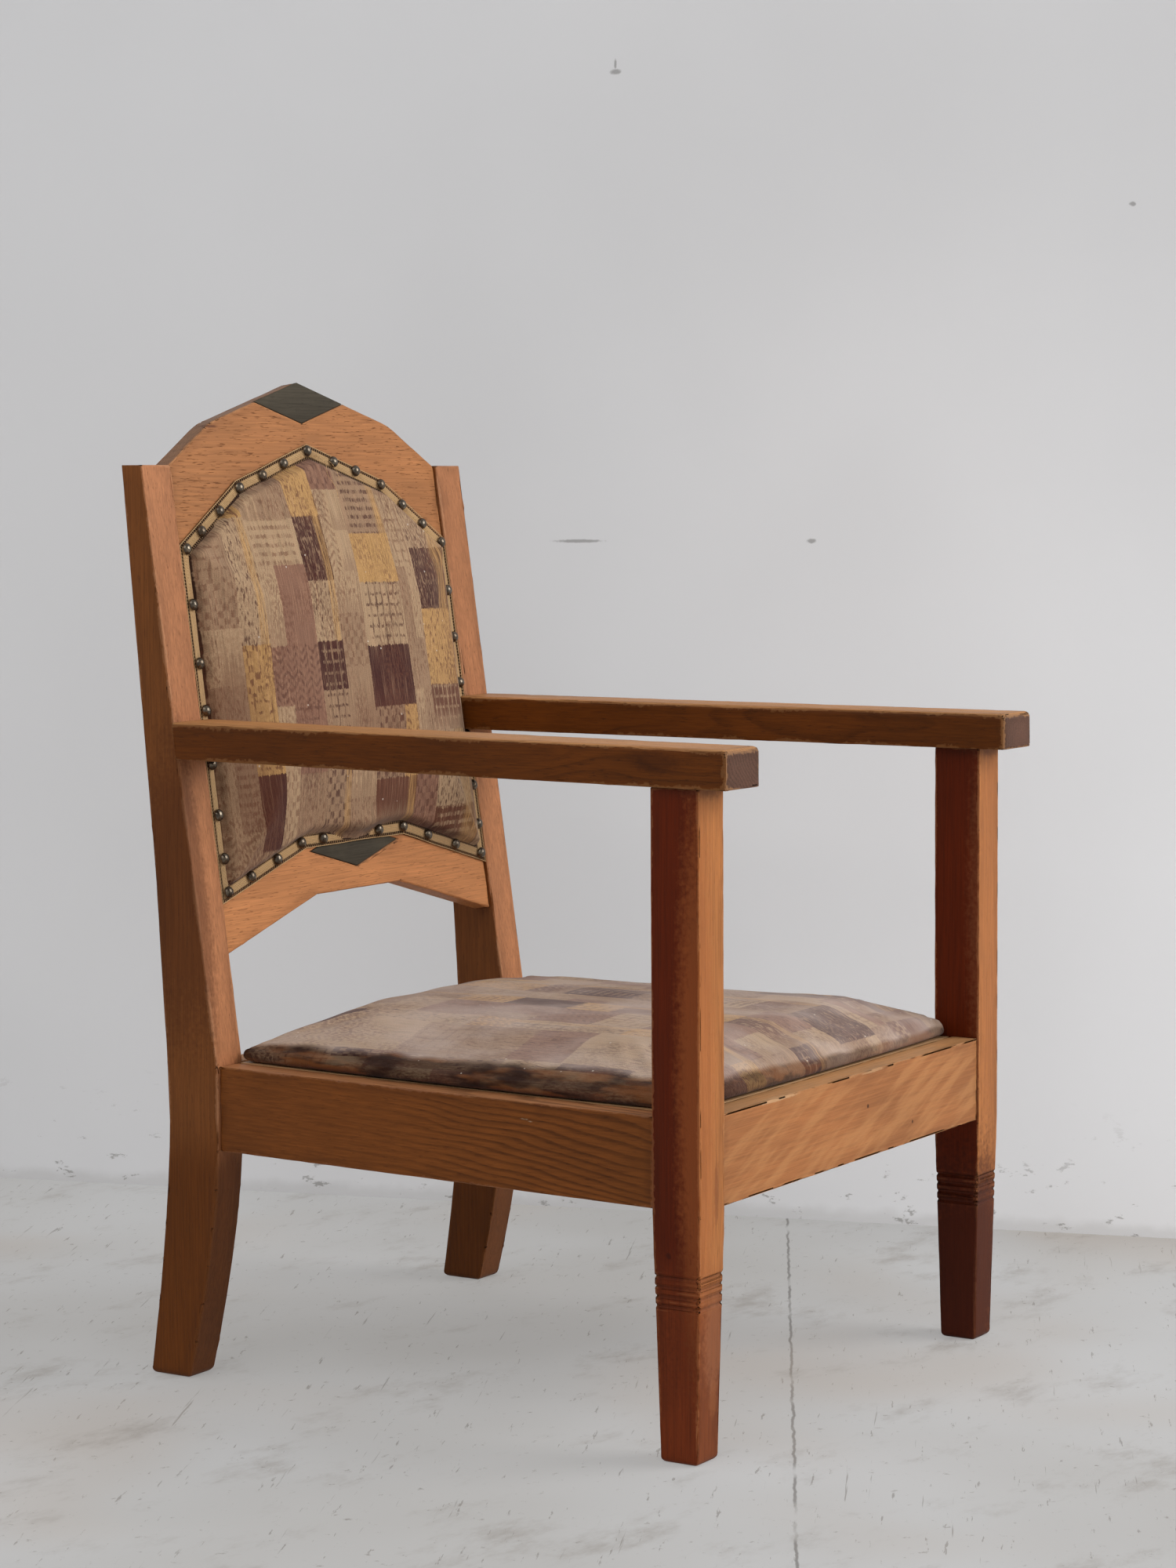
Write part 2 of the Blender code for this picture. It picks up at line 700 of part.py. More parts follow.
def tenon_board(name, outline, slope, lean, pocket):
    """Shaped board between the stiles, with a tenon each end and a sinking for its lozenge."""
    bm = board_prism(outline, BOARD_FRONT, BOARD_BACK)
    for side in (-1, 1):
        add_tenon(bm, end_face(bm, (side, 0, 0)),
                  Vector((side * board_end_x(slope), (BOARD_FRONT + BOARD_BACK) / 2, slope)),
                  BOARD_TENON_THICK / 2, AWAY, BOARD_TENON_HEIGHT / 2, UP,
                  Vector((side * BOARD_TENON_LONG, 0, 0)))
    made = piece(name, bm, oak(name), lean)
    cut(made, board_prism(pocket, BOARD_FRONT - BOARD_THICK, BOARD_FRONT + DIAMOND_THICK + GAP))


def crest_rail(lean):
    """Crest rail: three-slope top, arched underside hidden by the padding."""
    opening = opening_outline()
    shoulder_x, shoulder = opening[2]
    base = (board_end_x(shoulder), shoulder)
    top_end = (board_end_x(STILE_TOP_SLOPE), STILE_TOP_SLOPE)
    half = [opening[4], opening[3], (shoulder_x, shoulder), base, top_end,
            (CREST_KNEE_X, STILE_TOP_SLOPE + CREST_KNEE_RISE), (0.0, STILE_TOP_SLOPE + CREST_APEX_RISE)]
    outline = mirrored_ring(half)
    knees = {i for i, (x, z) in enumerate(outline)
             if abs(abs(x) - CREST_KNEE_X) < GAP and z > STILE_TOP_SLOPE}
    tenon_board("crest_rail", soften(outline, knees, CREST_SOFTEN), crest_tenon_slope(), lean,
                sinking(crest_diamond_middle(), True))


def mirrored_ring(half):
    """Whole outline from a right half that starts and ends on the middle line."""
    return half + [(-x, z) for x, z in reversed(half[1:-1])]


def lower_rail(lean):
    """Lower back rail: flat arch below, stepped top hidden by the padding."""
    opening = opening_outline()
    foot = COVER_FOOT - LOWER_RAIL_END_DROP
    corner_x, corner = opening[1]
    half = [(LOWER_RAIL_KNEE_X, foot + LOWER_RAIL_KNEE_RISE), (board_end_x(foot), foot),
            (board_end_x(corner), corner), (corner_x, corner), opening[0]]
    tenon_board("lower_back_rail", mirrored(half), lower_tenon_slope(), lean,
                sinking(lower_diamond_middle(), False))


def back_batten(side, name, lean):
    """Upright lath beside a stile, between the crest and the lower rail."""
    opening = opening_outline()
    low = opening[1][1] + GAP
    high = opening[2][1] - GAP
    outline = [(side * board_end_x(low), low), (side * board_end_x(high), high),
               (side * opening[2][0], high), (side * opening[1][0], low)]
    piece(name, board_prism(outline, BOARD_FRONT, BOARD_BACK), oak(name), lean)


def diamonds(lean):
    """Dark lozenges let into the crest and the lower rail."""
    for name, middle in (("crest_diamond", crest_diamond_middle()),
                         ("lower_diamond", lower_diamond_middle())):
        bm = board_prism(diamond(middle), BOARD_FRONT, BOARD_FRONT + DIAMOND_THICK)
        piece(name, bm, dark_wood(name), lean)


def block_plan(end):
    """Plan of a right-hand corner block, and the way into the seat from its rail: 1 or -1."""
    if end == "front":
        way, reach = 1, BLOCK_REACH_FRONT
        face = FRONT_RECESS + RAIL_THICK + GAP
        post_x, post_y = POST_INNER - GAP, POST_DEPTH + GAP
    else:
        way, reach = -1, BLOCK_REACH_REAR
        face = REAR_LEG_Y + REAR_RECESS - GAP
        post_x, post_y = leg_inner_x(BLOCK_TOP) - GAP, REAR_LEG_Y - GAP
    far = post_y + way * reach
    return [(post_x, face), (post_x - reach, face), (side_inner_x(far) - GAP, far),
            (side_inner_x(post_y) - GAP, post_y), (post_x, post_y)], way


def screw_seat(end):
    """Where the right-hand block's screw head sits, and the run from there to the rail."""
    plan, way = block_plan(end)
    (near_x, face), (far_x, far_y) = plan[1], plan[2]
    x = (plan[0][0] + near_x) / 2
    slope_y = lerp(face, far_y, (x - near_x) / (far_x - near_x))
    head = Vector((x, slope_y - way * SCREW_SINK, BLOCK_TOP - BLOCK_HEIGHT / 2))
    return head, way, abs(head.y - face)


def screw_bore(bm, side, end):
    """Clearance for a screw: counterbore through the block, then the bore into the rail."""
    head, way, run = screw_seat(end)
    wide, narrow = SCREW_HEAD_RADIUS + GAP, SCREW_RADIUS + GAP
    add_turned(bm, Vector((side * head.x, head.y, head.z)), AWAY * -way,
               [(-BLOCK_REACH_FRONT, wide), (0, wide), (0, narrow), (run + SCREW_BITE + 2 * GAP, narrow)])


def corner_block(side, hand, end, root):
    """Glue block in a corner of the seat rails, and the screw that holds it."""
    plan, way = block_plan(end)
    name = f"corner_block_{end}_{hand}"
    block = piece(name, plan_prism([(side * x, y) for x, y in plan], BLOCK_TOP - BLOCK_HEIGHT, BLOCK_TOP),
                  beech(name), root)
    cutter = bmesh.new()
    screw_bore(cutter, side, end)
    cut(block, cutter)
    head, way, run = screw_seat(end)
    start = Vector((side * head.x, head.y + way * GAP, head.z))
    bm = bmesh.new()
    add_turned(bm, start, AWAY * -way, [(-SCREW_HEAD, SCREW_HEAD_RADIUS), (0, SCREW_HEAD_RADIUS),
                                        (0, SCREW_RADIUS), (run + SCREW_BITE, SCREW_RADIUS)])
    name = f"corner_block_screw_{end}_{hand}"
    piece(name, bm, bronze(name), root)


def seat_battens(root):
    """Cleats inside the rails that carry the loose seat."""
    low = BATTEN_TOP - BATTEN
    front = FRONT_RECESS + RAIL_THICK + GAP
    end = POST_INNER - GAP
    piece("seat_batten_front", plan_prism([(-end, front), (end, front), (end, front + BATTEN),
                                           (-end, front + BATTEN)], low, BATTEN_TOP),
          beech("seat_batten_front"), root)
    for side, hand in ((-1, "left"), (1, "right")):
        first, last = POST_DEPTH + GAP, REAR_LEG_Y - GAP
        outline = [(side_inner_x(first) - GAP, first), (side_inner_x(last) - GAP, last),
                   (side_inner_x(last) - GAP - BATTEN, last), (side_inner_x(first) - GAP - BATTEN, first)]
        name = "seat_batten_" + hand
        piece(name, plan_prism([(side * x, y) for x, y in outline], low, BATTEN_TOP), beech(name), root)
    rear = REAR_LEG_Y + REAR_RECESS - GAP
    half = min(side_inner_x(REAR_LEG_Y) - BATTEN, leg_inner_x(BATTEN_TOP)) - 2 * GAP
    piece("seat_batten_rear", plan_prism([(-half, rear - BATTEN), (half, rear - BATTEN), (half, rear),
                                          (-half, rear)], low, BATTEN_TOP),
          beech("seat_batten_rear"), root)


def seat_side_x(y):
    """Half-width of the loose seat's frame behind the posts."""
    return side_inner_x(y) - SEAT_CLEAR


def seat_outline():
    """Plan of the loose seat, anticlockwise: notched round the posts, tapering to the back."""
    post_x = POST_INNER - SEAT_CLEAR
    post_y = POST_DEPTH + SEAT_CLEAR
    half = [(post_x, SEAT_FRAME_FRONT), (post_x, post_y), (seat_side_x(post_y), post_y),
            (seat_side_x(SEAT_FRAME_REAR), SEAT_FRAME_REAR)]
    return mirrored(half)


def seat_frame(seat):
    """Four slats under the padding: a front slat lapped round the posts, two sides and a rear slat."""
    low, high = SEAT_FRAME_UNDER, RAIL_TOP
    post_x = POST_INNER - SEAT_CLEAR
    post_y = POST_DEPTH + SEAT_CLEAR
    inner = seat_side_x(SEAT_FRAME_REAR) - SLAT_WIDTH
    joint = inner + SLAT_WIDTH / 2
    front = mirrored([(post_x, SEAT_FRAME_FRONT), (post_x, post_y), (joint, post_y),
                      (joint, SEAT_FRAME_FRONT + SLAT_WIDTH)])
    piece("seat_frame_front", plan_prism(front, low, high), beech("seat_frame_front"), seat)
    for side, hand in ((-1, "left"), (1, "right")):
        outline = [(joint + GAP, post_y + GAP), (seat_side_x(post_y), post_y + GAP),
                   (seat_side_x(SEAT_FRAME_REAR), SEAT_FRAME_REAR), (inner, SEAT_FRAME_REAR),
                   (inner, SEAT_FRAME_FRONT + SLAT_WIDTH + GAP),
                   (joint + GAP, SEAT_FRAME_FRONT + SLAT_WIDTH + GAP)]
        name = "seat_frame_" + hand
        piece(name, plan_prism([(side * x, y) for x, y in outline], low, high), beech(name), seat)
    rear = [(-inner + GAP, SEAT_FRAME_REAR - SLAT_WIDTH), (inner - GAP, SEAT_FRAME_REAR - SLAT_WIDTH),
            (inner - GAP, SEAT_FRAME_REAR), (-inner + GAP, SEAT_FRAME_REAR)]
    piece("seat_frame_rear", plan_prism(rear, low, high), beech("seat_frame_rear"), seat)


def seat_support(seat):
    """Webbing both ways across the seat frame, and hessian over it."""
    level = RAIL_TOP + GAP
    inner = seat_side_x(SEAT_FRAME_REAR) - SLAT_WIDTH
    front = SEAT_FRAME_FRONT + SLAT_WIDTH
    rear = SEAT_FRAME_REAR - SLAT_WIDTH
    lap = SLAT_WIDTH / 2
    for i in range(SEAT_WEBS_LONG):
        x = lerp(-inner, inner, (i + 0.5) / SEAT_WEBS_LONG)
        flat_piece(f"seat_webbing_long_{i + 1}", x - SEAT_WEB_WIDTH / 2, x + SEAT_WEB_WIDTH / 2,
                   front - lap, rear + lap, level, WEB_THICK, seat)
    level += WEB_THICK + GAP
    for i in range(SEAT_WEBS_CROSS):
        y = lerp(front, rear, (i + 0.5) / SEAT_WEBS_CROSS)
        flat_piece(f"seat_webbing_cross_{i + 1}", -inner - lap, inner + lap, y - SEAT_WEB_WIDTH / 2,
                   y + SEAT_WEB_WIDTH / 2, level, WEB_THICK, seat)
    level += WEB_THICK + GAP
    flat_piece("seat_hessian", -inner - lap, inner + lap, front - lap, rear + lap, level, HESSIAN_THICK, seat)


def flat_piece(name, left, right, front, rear, level, thick, seat):
    """Flat rectangle of webbing or hessian on the seat frame."""
    bm = plan_prism([(left, front), (right, front), (right, rear), (left, rear)], level, level + thick)
    piece(name, bm, jute(name), seat)


def crown_height(fullness, wall, crown):
    """Height of padding where it is so full: 0 at its wall, 1 at its middle, rising like a round edge."""
    return wall + (crown - wall) * math.sqrt(max(0.0, fullness))


def stack_depth():
    """Thickness of webbing both ways and hessian, with the clearances between them."""
    return 2 * WEB_THICK + HESSIAN_THICK + 4 * GAP


def seat_belly(x, y):
    """How far the seat's wall swells outwards at a rim point: over the rails, and not at the corners."""
    across = min(1.0, abs(x) / seat_side_x(y))
    along = (y - SEAT_FRAME_FRONT) / (SEAT_FRAME_REAR - SEAT_FRAME_FRONT)
    reach = SEAT_BULGE_FRONT if along < 0.5 else SEAT_BULGE_REAR
    return Vector((math.copysign(SEAT_BULGE_SIDE, x) * across ** 8 * math.sin(math.pi * along),
                   math.copysign(reach, along - 0.5) * abs(2 * along - 1) ** 8
                   * math.cos(math.pi / 2 * across)))


def seat_pad(seat):
    """Crowned cushion: steep walls that belly over the rails and draw in at the corners."""
    rim = divide(seat_outline(), PAD_PITCH)
    centre = Vector((0, (SEAT_FRAME_FRONT + SEAT_FRAME_REAR) / 2))
    half_depth = centre.y - SEAT_FRAME_FRONT
    base = RAIL_TOP + GAP
    pocket = base + stack_depth()

    def ring(share, swell, height=None):
        points = []
        for x, y in rim:
            flat = centre + (Vector((x, y)) - centre) * (1 - share)
            out = flat + seat_belly(x, y) * swell * (1 - share)
            across = min(1.0, abs(flat.x) / seat_side_x(flat.y)) ** SEAT_ROUND_ACROSS
            along = min(1.0, abs(flat.y - centre.y) / half_depth) ** SEAT_ROUND_ALONG
            crown = base + crown_height((1 - across) * (1 - along), SEAT_WALL, SEAT_CROWN)
            points.append((out.x, out.y, crown if height is None else height))
        return points

    rings = [ring(0.96, 0.0, pocket), ring(SEAT_RIM + 0.01, 0.0, pocket), ring(SEAT_RIM, 0.0, base),
             ring(0.0, 0.0, base), ring(0.0, 0.7, base + SEAT_WALL * 0.12),
             ring(0.0, 1.0, base + SEAT_WALL * 0.5), ring(0.0, 0.95, base + SEAT_WALL * 0.85)]
    rings += [ring(share, 0.9) for share in (0.006, 0.02, 0.05, 0.10, 0.18, 0.30, 0.48, 0.70, 0.93)]
    piece("seat_pad", loft(rings), cover_cloth("seat_pad"), seat)


def back_pad(lean):
    """Padded front panel: a flat border under the braid, then a full crown."""
    guide = cover_outline()
    centre = Vector((0, (COVER_FOOT + COVER_SHOULDER + COVER_APEX_RISE) / 2))
    back = BOARD_FRONT - GAP
    front = back - CLOTH
    pocket = back - stack_depth()
    flank = BRAID_WIDTH + GAP

    def ring(inset, share, depth):
        points = []
        for point in divide_like(guide, inset_outline(guide, inset), PAD_PITCH):
            flat = centre + (Vector(point) - centre) * (1 - share)
            points.append((flat.x, depth, flat.y))
        return points

    rings = [ring(flank + PAD_WALL, 0.96, pocket), ring(flank + PAD_WALL, 0.0, pocket),
             ring(flank + PAD_WALL / 2, 0.0, back), ring(0.0, 0.0, back), ring(0.0, 0.0, front),
             ring(flank, 0.0, front), ring(flank + PAD_WALL / 5, 0.0, front - BACK_WALL * 0.8),
             ring(flank + PAD_WALL * 0.6, 0.0, front - BACK_WALL)]
    for share in (0.01, 0.03, 0.07, 0.14, 0.25, 0.42, 0.65, 0.93):
        fullness = 1 - (1 - share) ** BACK_ROUND
        rings.append(ring(flank + PAD_WALL, share, front - crown_height(fullness, BACK_WALL, BACK_CROWN)))
    piece("back_pad", loft(rings), cover_cloth("back_pad"), lean)


def divide_like(guide, points, pitch):
    """Divide an outline into as many points as a guide outline with the same corners."""
    result = []
    for i, point in enumerate(guide):
        length = (Vector(guide[(i + 1) % len(guide)]) - Vector(point)).length
        steps = max(1, math.ceil(length / pitch))
        here, after = Vector(points[i]), Vector(points[(i + 1) % len(points)])
        result += [tuple(here.lerp(after, k / steps)) for k in range(steps)]
    return result


def back_support(lean):
    """Webbing both ways across the back's opening, and hessian over it."""
    opening = opening_outline()
    level = BOARD_FRONT - GAP
    half_width = opening[1][0]
    for i in range(BACK_WEB_UPRIGHTS):
        x = lerp(-half_width, half_width, (i + 0.5) / BACK_WEB_UPRIGHTS)
        near, far = x - BACK_WEB_WIDTH / 2, x + BACK_WEB_WIDTH / 2
        low_near, high_near = span_at(opening, near)
        low_far, high_far = span_at(opening, far)
        strip = [(near, low_near - WEB_LAP), (far, low_far - WEB_LAP), (far, high_far + WEB_LAP),
                 (near, high_near + WEB_LAP)]
        name = f"back_webbing_upright_{i + 1}"
        piece(name, board_prism(strip, level - WEB_THICK, level), jute(name), lean)
    level -= WEB_THICK + GAP
    reach = half_width + WEB_LAP
    for i in range(BACK_WEB_CROSSES):
        middle = lerp(opening[0][1], opening[2][1], (i + 0.5) / BACK_WEB_CROSSES)
        low, high = middle - BACK_WEB_WIDTH / 2, middle + BACK_WEB_WIDTH / 2
        strip = [(-reach, low), (reach, low), (reach, high), (-reach, high)]
        name = f"back_webbing_cross_{i + 1}"
        piece(name, board_prism(strip, level - WEB_THICK, level), jute(name), lean)
    level -= WEB_THICK + GAP
    sheet = inset_outline(cover_outline(), BOARD_MARGIN - WEB_LAP)
    piece("back_hessian", board_prism(sheet, level - HESSIAN_THICK, level), jute("back_hessian"), lean)


def outside_back(lean):
    """Plain cloth over the rear of the back, edged with braid."""
    outline = cover_outline()
    near = BOARD_BACK + GAP
    piece("back_outside_cover", board_prism(outline, near, near + CLOTH),
          cover_cloth("back_outside_cover"), lean)
    edge = near + CLOTH + GAP
    piece("rear_braid", braid_ring(edge, edge + BRAID_THICK), trim("rear_braid"), lean)


def braid_ring(near, far):
    """One length of braid round the panel, mitred at its corners."""
    outer = cover_outline()
    inner = inset_outline(outer, BRAID_WIDTH)
    rings = [[(x, y, z) for x, z in points]
             for points, y in ((outer, near), (outer, far), (inner, far), (inner, near))]
    return loft(rings, close=True)


def chain_points(chain, count):
    """Points at equal steps along a chain, its ends included."""
    lengths = [(Vector(b) - Vector(a)).length for a, b in zip(chain, chain[1:])]
    total = sum(lengths)
    result = []
    for i in range(count + 1):
        left = total * i / count
        for (a, b), length in zip(zip(chain, chain[1:]), lengths):
            if left <= length + GAP:
                result.append(tuple(Vector(a).lerp(Vector(b), min(1.0, left / length))))
                break
            left -= length
    return result


def nail_places():
    """Middle of every dome nail on the braid: top, bottom, and the sides above and below the arms."""
    line = inset_outline(cover_outline(), BRAID_WIDTH / 2)
    places = chain_points([line[2], line[3], line[4], line[5], line[6]], NAILS_TOP)
    places += chain_points([line[7], line[8], line[0], line[1]], NAILS_BOTTOM)
    lift = arm_rise(REAR_LEG_Y) - RAIL_TOP
    above = (ARM_TOP + lift) / math.cos(RAKE) + NAIL_RADIUS + NAIL_ARM_GAP
    below = (ARM_UNDER + lift) / math.cos(RAKE) - NAIL_RADIUS - NAIL_ARM_GAP
    foot, shoulder = line[1], line[2]
    for side in (-1, 1):
        for start, stop in ((above, shoulder[1]), (foot[1], below)):
            for i in range(NAILS_SIDE_RUN + 1):
                height = lerp(start, stop, i / NAILS_SIDE_RUN)
                if height in (foot[1], shoulder[1]):
                    continue
                share = (height - foot[1]) / (shoulder[1] - foot[1])
                places.append((side * lerp(foot[0], shoulder[0], share), height))
    return places


def nailed_braid(lean):
    """Front braid with its round-headed nails, which stand on it as one piece."""
    braid = piece("nailed_braid", braid_ring(BRAID_FRONT, BRAID_BACK), trim("nailed_braid"), lean)
    heads = bmesh.new()
    profile = [(-BRAID_THICK / 2, 1.0), (0.0, 1.0), (0.45, 0.88), (0.82, 0.55), (1.0, 0.18)]
    steps = [(share * NAIL_HEIGHT if share > 0 else share, wide * NAIL_RADIUS) for share, wide in profile]
    for x, z in nail_places():
        add_turned(heads, Vector((x, BRAID_FRONT, z)), -AWAY, steps, sides=10)
    nails = piece("nailed_braid_heads", heads, bronze("nail_heads"), lean)
    nails.data.shade_smooth()
    nails.hide_render = True
    nails.display_type = "WIRE"
    modifier = braid.modifiers.new("nails", "BOOLEAN")
    modifier.operation = "UNION"
    modifier.solver = "EXACT"
    modifier.object = nails


def build():
    """Make the whole chair."""
    clear_scene()
    crest_back = on_rake(0, BOARD_BACK, STILE_TOP_SLOPE + CREST_APEX_RISE).y
    middle_y = (crest_back - ARM_OVERHANG) / 2
    root = empty("frame_origin", (0, -middle_y, 0))
    lean = empty("back_origin", (0, REAR_LEG_Y, RAIL_TOP), root, RAKE)
    seat = empty("seat_origin", (0, 0, 0), root)
    for side, hand in ((-1, "left"), (1, "right")):
        front_leg(side, "front_leg_" + hand, root)
        rear_leg(side, "rear_leg_" + hand, root)
        side_rail(side, "side_seat_rail_" + hand, root)
        arm(side, "arm_" + hand, root)
        arm_dowels(side, hand, root)
        for end in ("front", "rear"):
            corner_block(side, hand, end, root)
        back_batten(side, "back_batten_" + hand, lean)
    front_rail(root)
    rear_rail(root)
    crest_rail(lean)
    lower_rail(lean)
    diamonds(lean)
    seat_battens(root)
    back_support(lean)
    back_pad(lean)
    outside_back(lean)
    nailed_braid(lean)
    seat_frame(seat)
    seat_support(seat)
    seat_pad(seat)


build()
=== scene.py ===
"""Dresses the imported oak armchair: worn stained oak, nailed braid, printed plush on the back and the loose seat.

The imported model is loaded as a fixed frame. Sizes are in metres, in its axes:
+Z up, the front of the chair towards -Y, +X to the right as seen from the front.
"""

import logging
import math
from contextlib import contextmanager
from dataclasses import dataclass, field, replace
from enum import Enum
from typing import Callable, Iterable, Iterator, Sequence

import bpy
import numpy as np
from mathutils import Matrix, Vector, noise
from mathutils.bvhtree import BVHTree


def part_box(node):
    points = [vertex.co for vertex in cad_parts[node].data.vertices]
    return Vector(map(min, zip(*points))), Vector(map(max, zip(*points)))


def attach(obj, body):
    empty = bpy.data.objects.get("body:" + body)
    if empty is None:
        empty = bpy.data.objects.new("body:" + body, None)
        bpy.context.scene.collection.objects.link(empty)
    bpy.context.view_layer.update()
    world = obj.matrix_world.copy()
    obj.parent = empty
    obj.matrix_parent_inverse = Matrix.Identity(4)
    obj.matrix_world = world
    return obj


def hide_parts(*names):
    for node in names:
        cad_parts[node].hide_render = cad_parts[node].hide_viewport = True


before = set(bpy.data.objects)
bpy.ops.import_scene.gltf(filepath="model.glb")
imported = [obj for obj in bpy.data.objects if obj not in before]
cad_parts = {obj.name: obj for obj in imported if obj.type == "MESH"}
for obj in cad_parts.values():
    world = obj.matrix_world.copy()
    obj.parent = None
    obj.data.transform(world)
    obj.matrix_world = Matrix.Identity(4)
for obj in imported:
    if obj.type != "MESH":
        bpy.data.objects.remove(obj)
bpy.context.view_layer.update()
LOG = logging.getLogger("armchair")

Colour = tuple[float, float, float]
Triple = tuple[float, float, float]

SHARP = math.radians(24.0)
RAKE = math.radians(8.0)
RAKE_ORIGIN = Vector((0.0, 0.2276, 0.3008))
RAKE_UP = Vector((0.0, math.sin(RAKE), math.cos(RAKE)))
RAKE_BACK = Vector((0.0, math.cos(RAKE), -math.sin(RAKE)))


def tone(red: int, green: int, blue: int) -> Colour:
    """A colour as it is read off a screen, from 0 to 255, turned to a linear one."""
    parts = (value / 255.0 for value in (red, green, blue))
    return tuple(part / 12.92 if part <= 0.04045 else ((part + 0.055) / 1.055) ** 2.4 for part in parts)


def on_back(x: float, slope: float, depth: float) -> Vector:
    """The place of a point that is given along, up and through the raked back."""
    return RAKE_ORIGIN + Vector((x, 0.0, 0.0)) + RAKE_UP * slope + RAKE_BACK * depth


# ---------------------------------------------------------------- node graphs


def step(operation: str, swapped: bool = False) -> Callable[..., "Value"]:
    """The method behind one operator of a value, which adds a Math node.

    Args:
        operation: what the node does.
        swapped: True where the value stands on the operator's right.

    Returns:
        The method.
    """
    def method(value: "Value", *others: object) -> "Value":
        """Adds the node to the value's own graph."""
        parts = (value, *others)
        return value.graph.math(operation, *(parts[::-1] if swapped else parts))
    return method


class Value:
    """What a node gives out. An operator on it adds a Math node."""

    def __init__(self, graph: "Graph", socket: bpy.types.NodeSocket) -> None:
        """Keeps the socket and the graph that it is in."""
        self.graph, self.socket = graph, socket

    __add__, __radd__ = step("ADD"), step("ADD", True)
    __sub__, __rsub__ = step("SUBTRACT"), step("SUBTRACT", True)
    __mul__, __rmul__ = step("MULTIPLY"), step("MULTIPLY", True)
    __truediv__, __mod__, __abs__ = step("DIVIDE"), step("MODULO"), step("ABSOLUTE")
    __gt__, __lt__ = step("GREATER_THAN"), step("LESS_THAN")
    fract, floor, sine = step("FRACT"), step("FLOOR"), step("SINE")


Values = dict[str, Value]


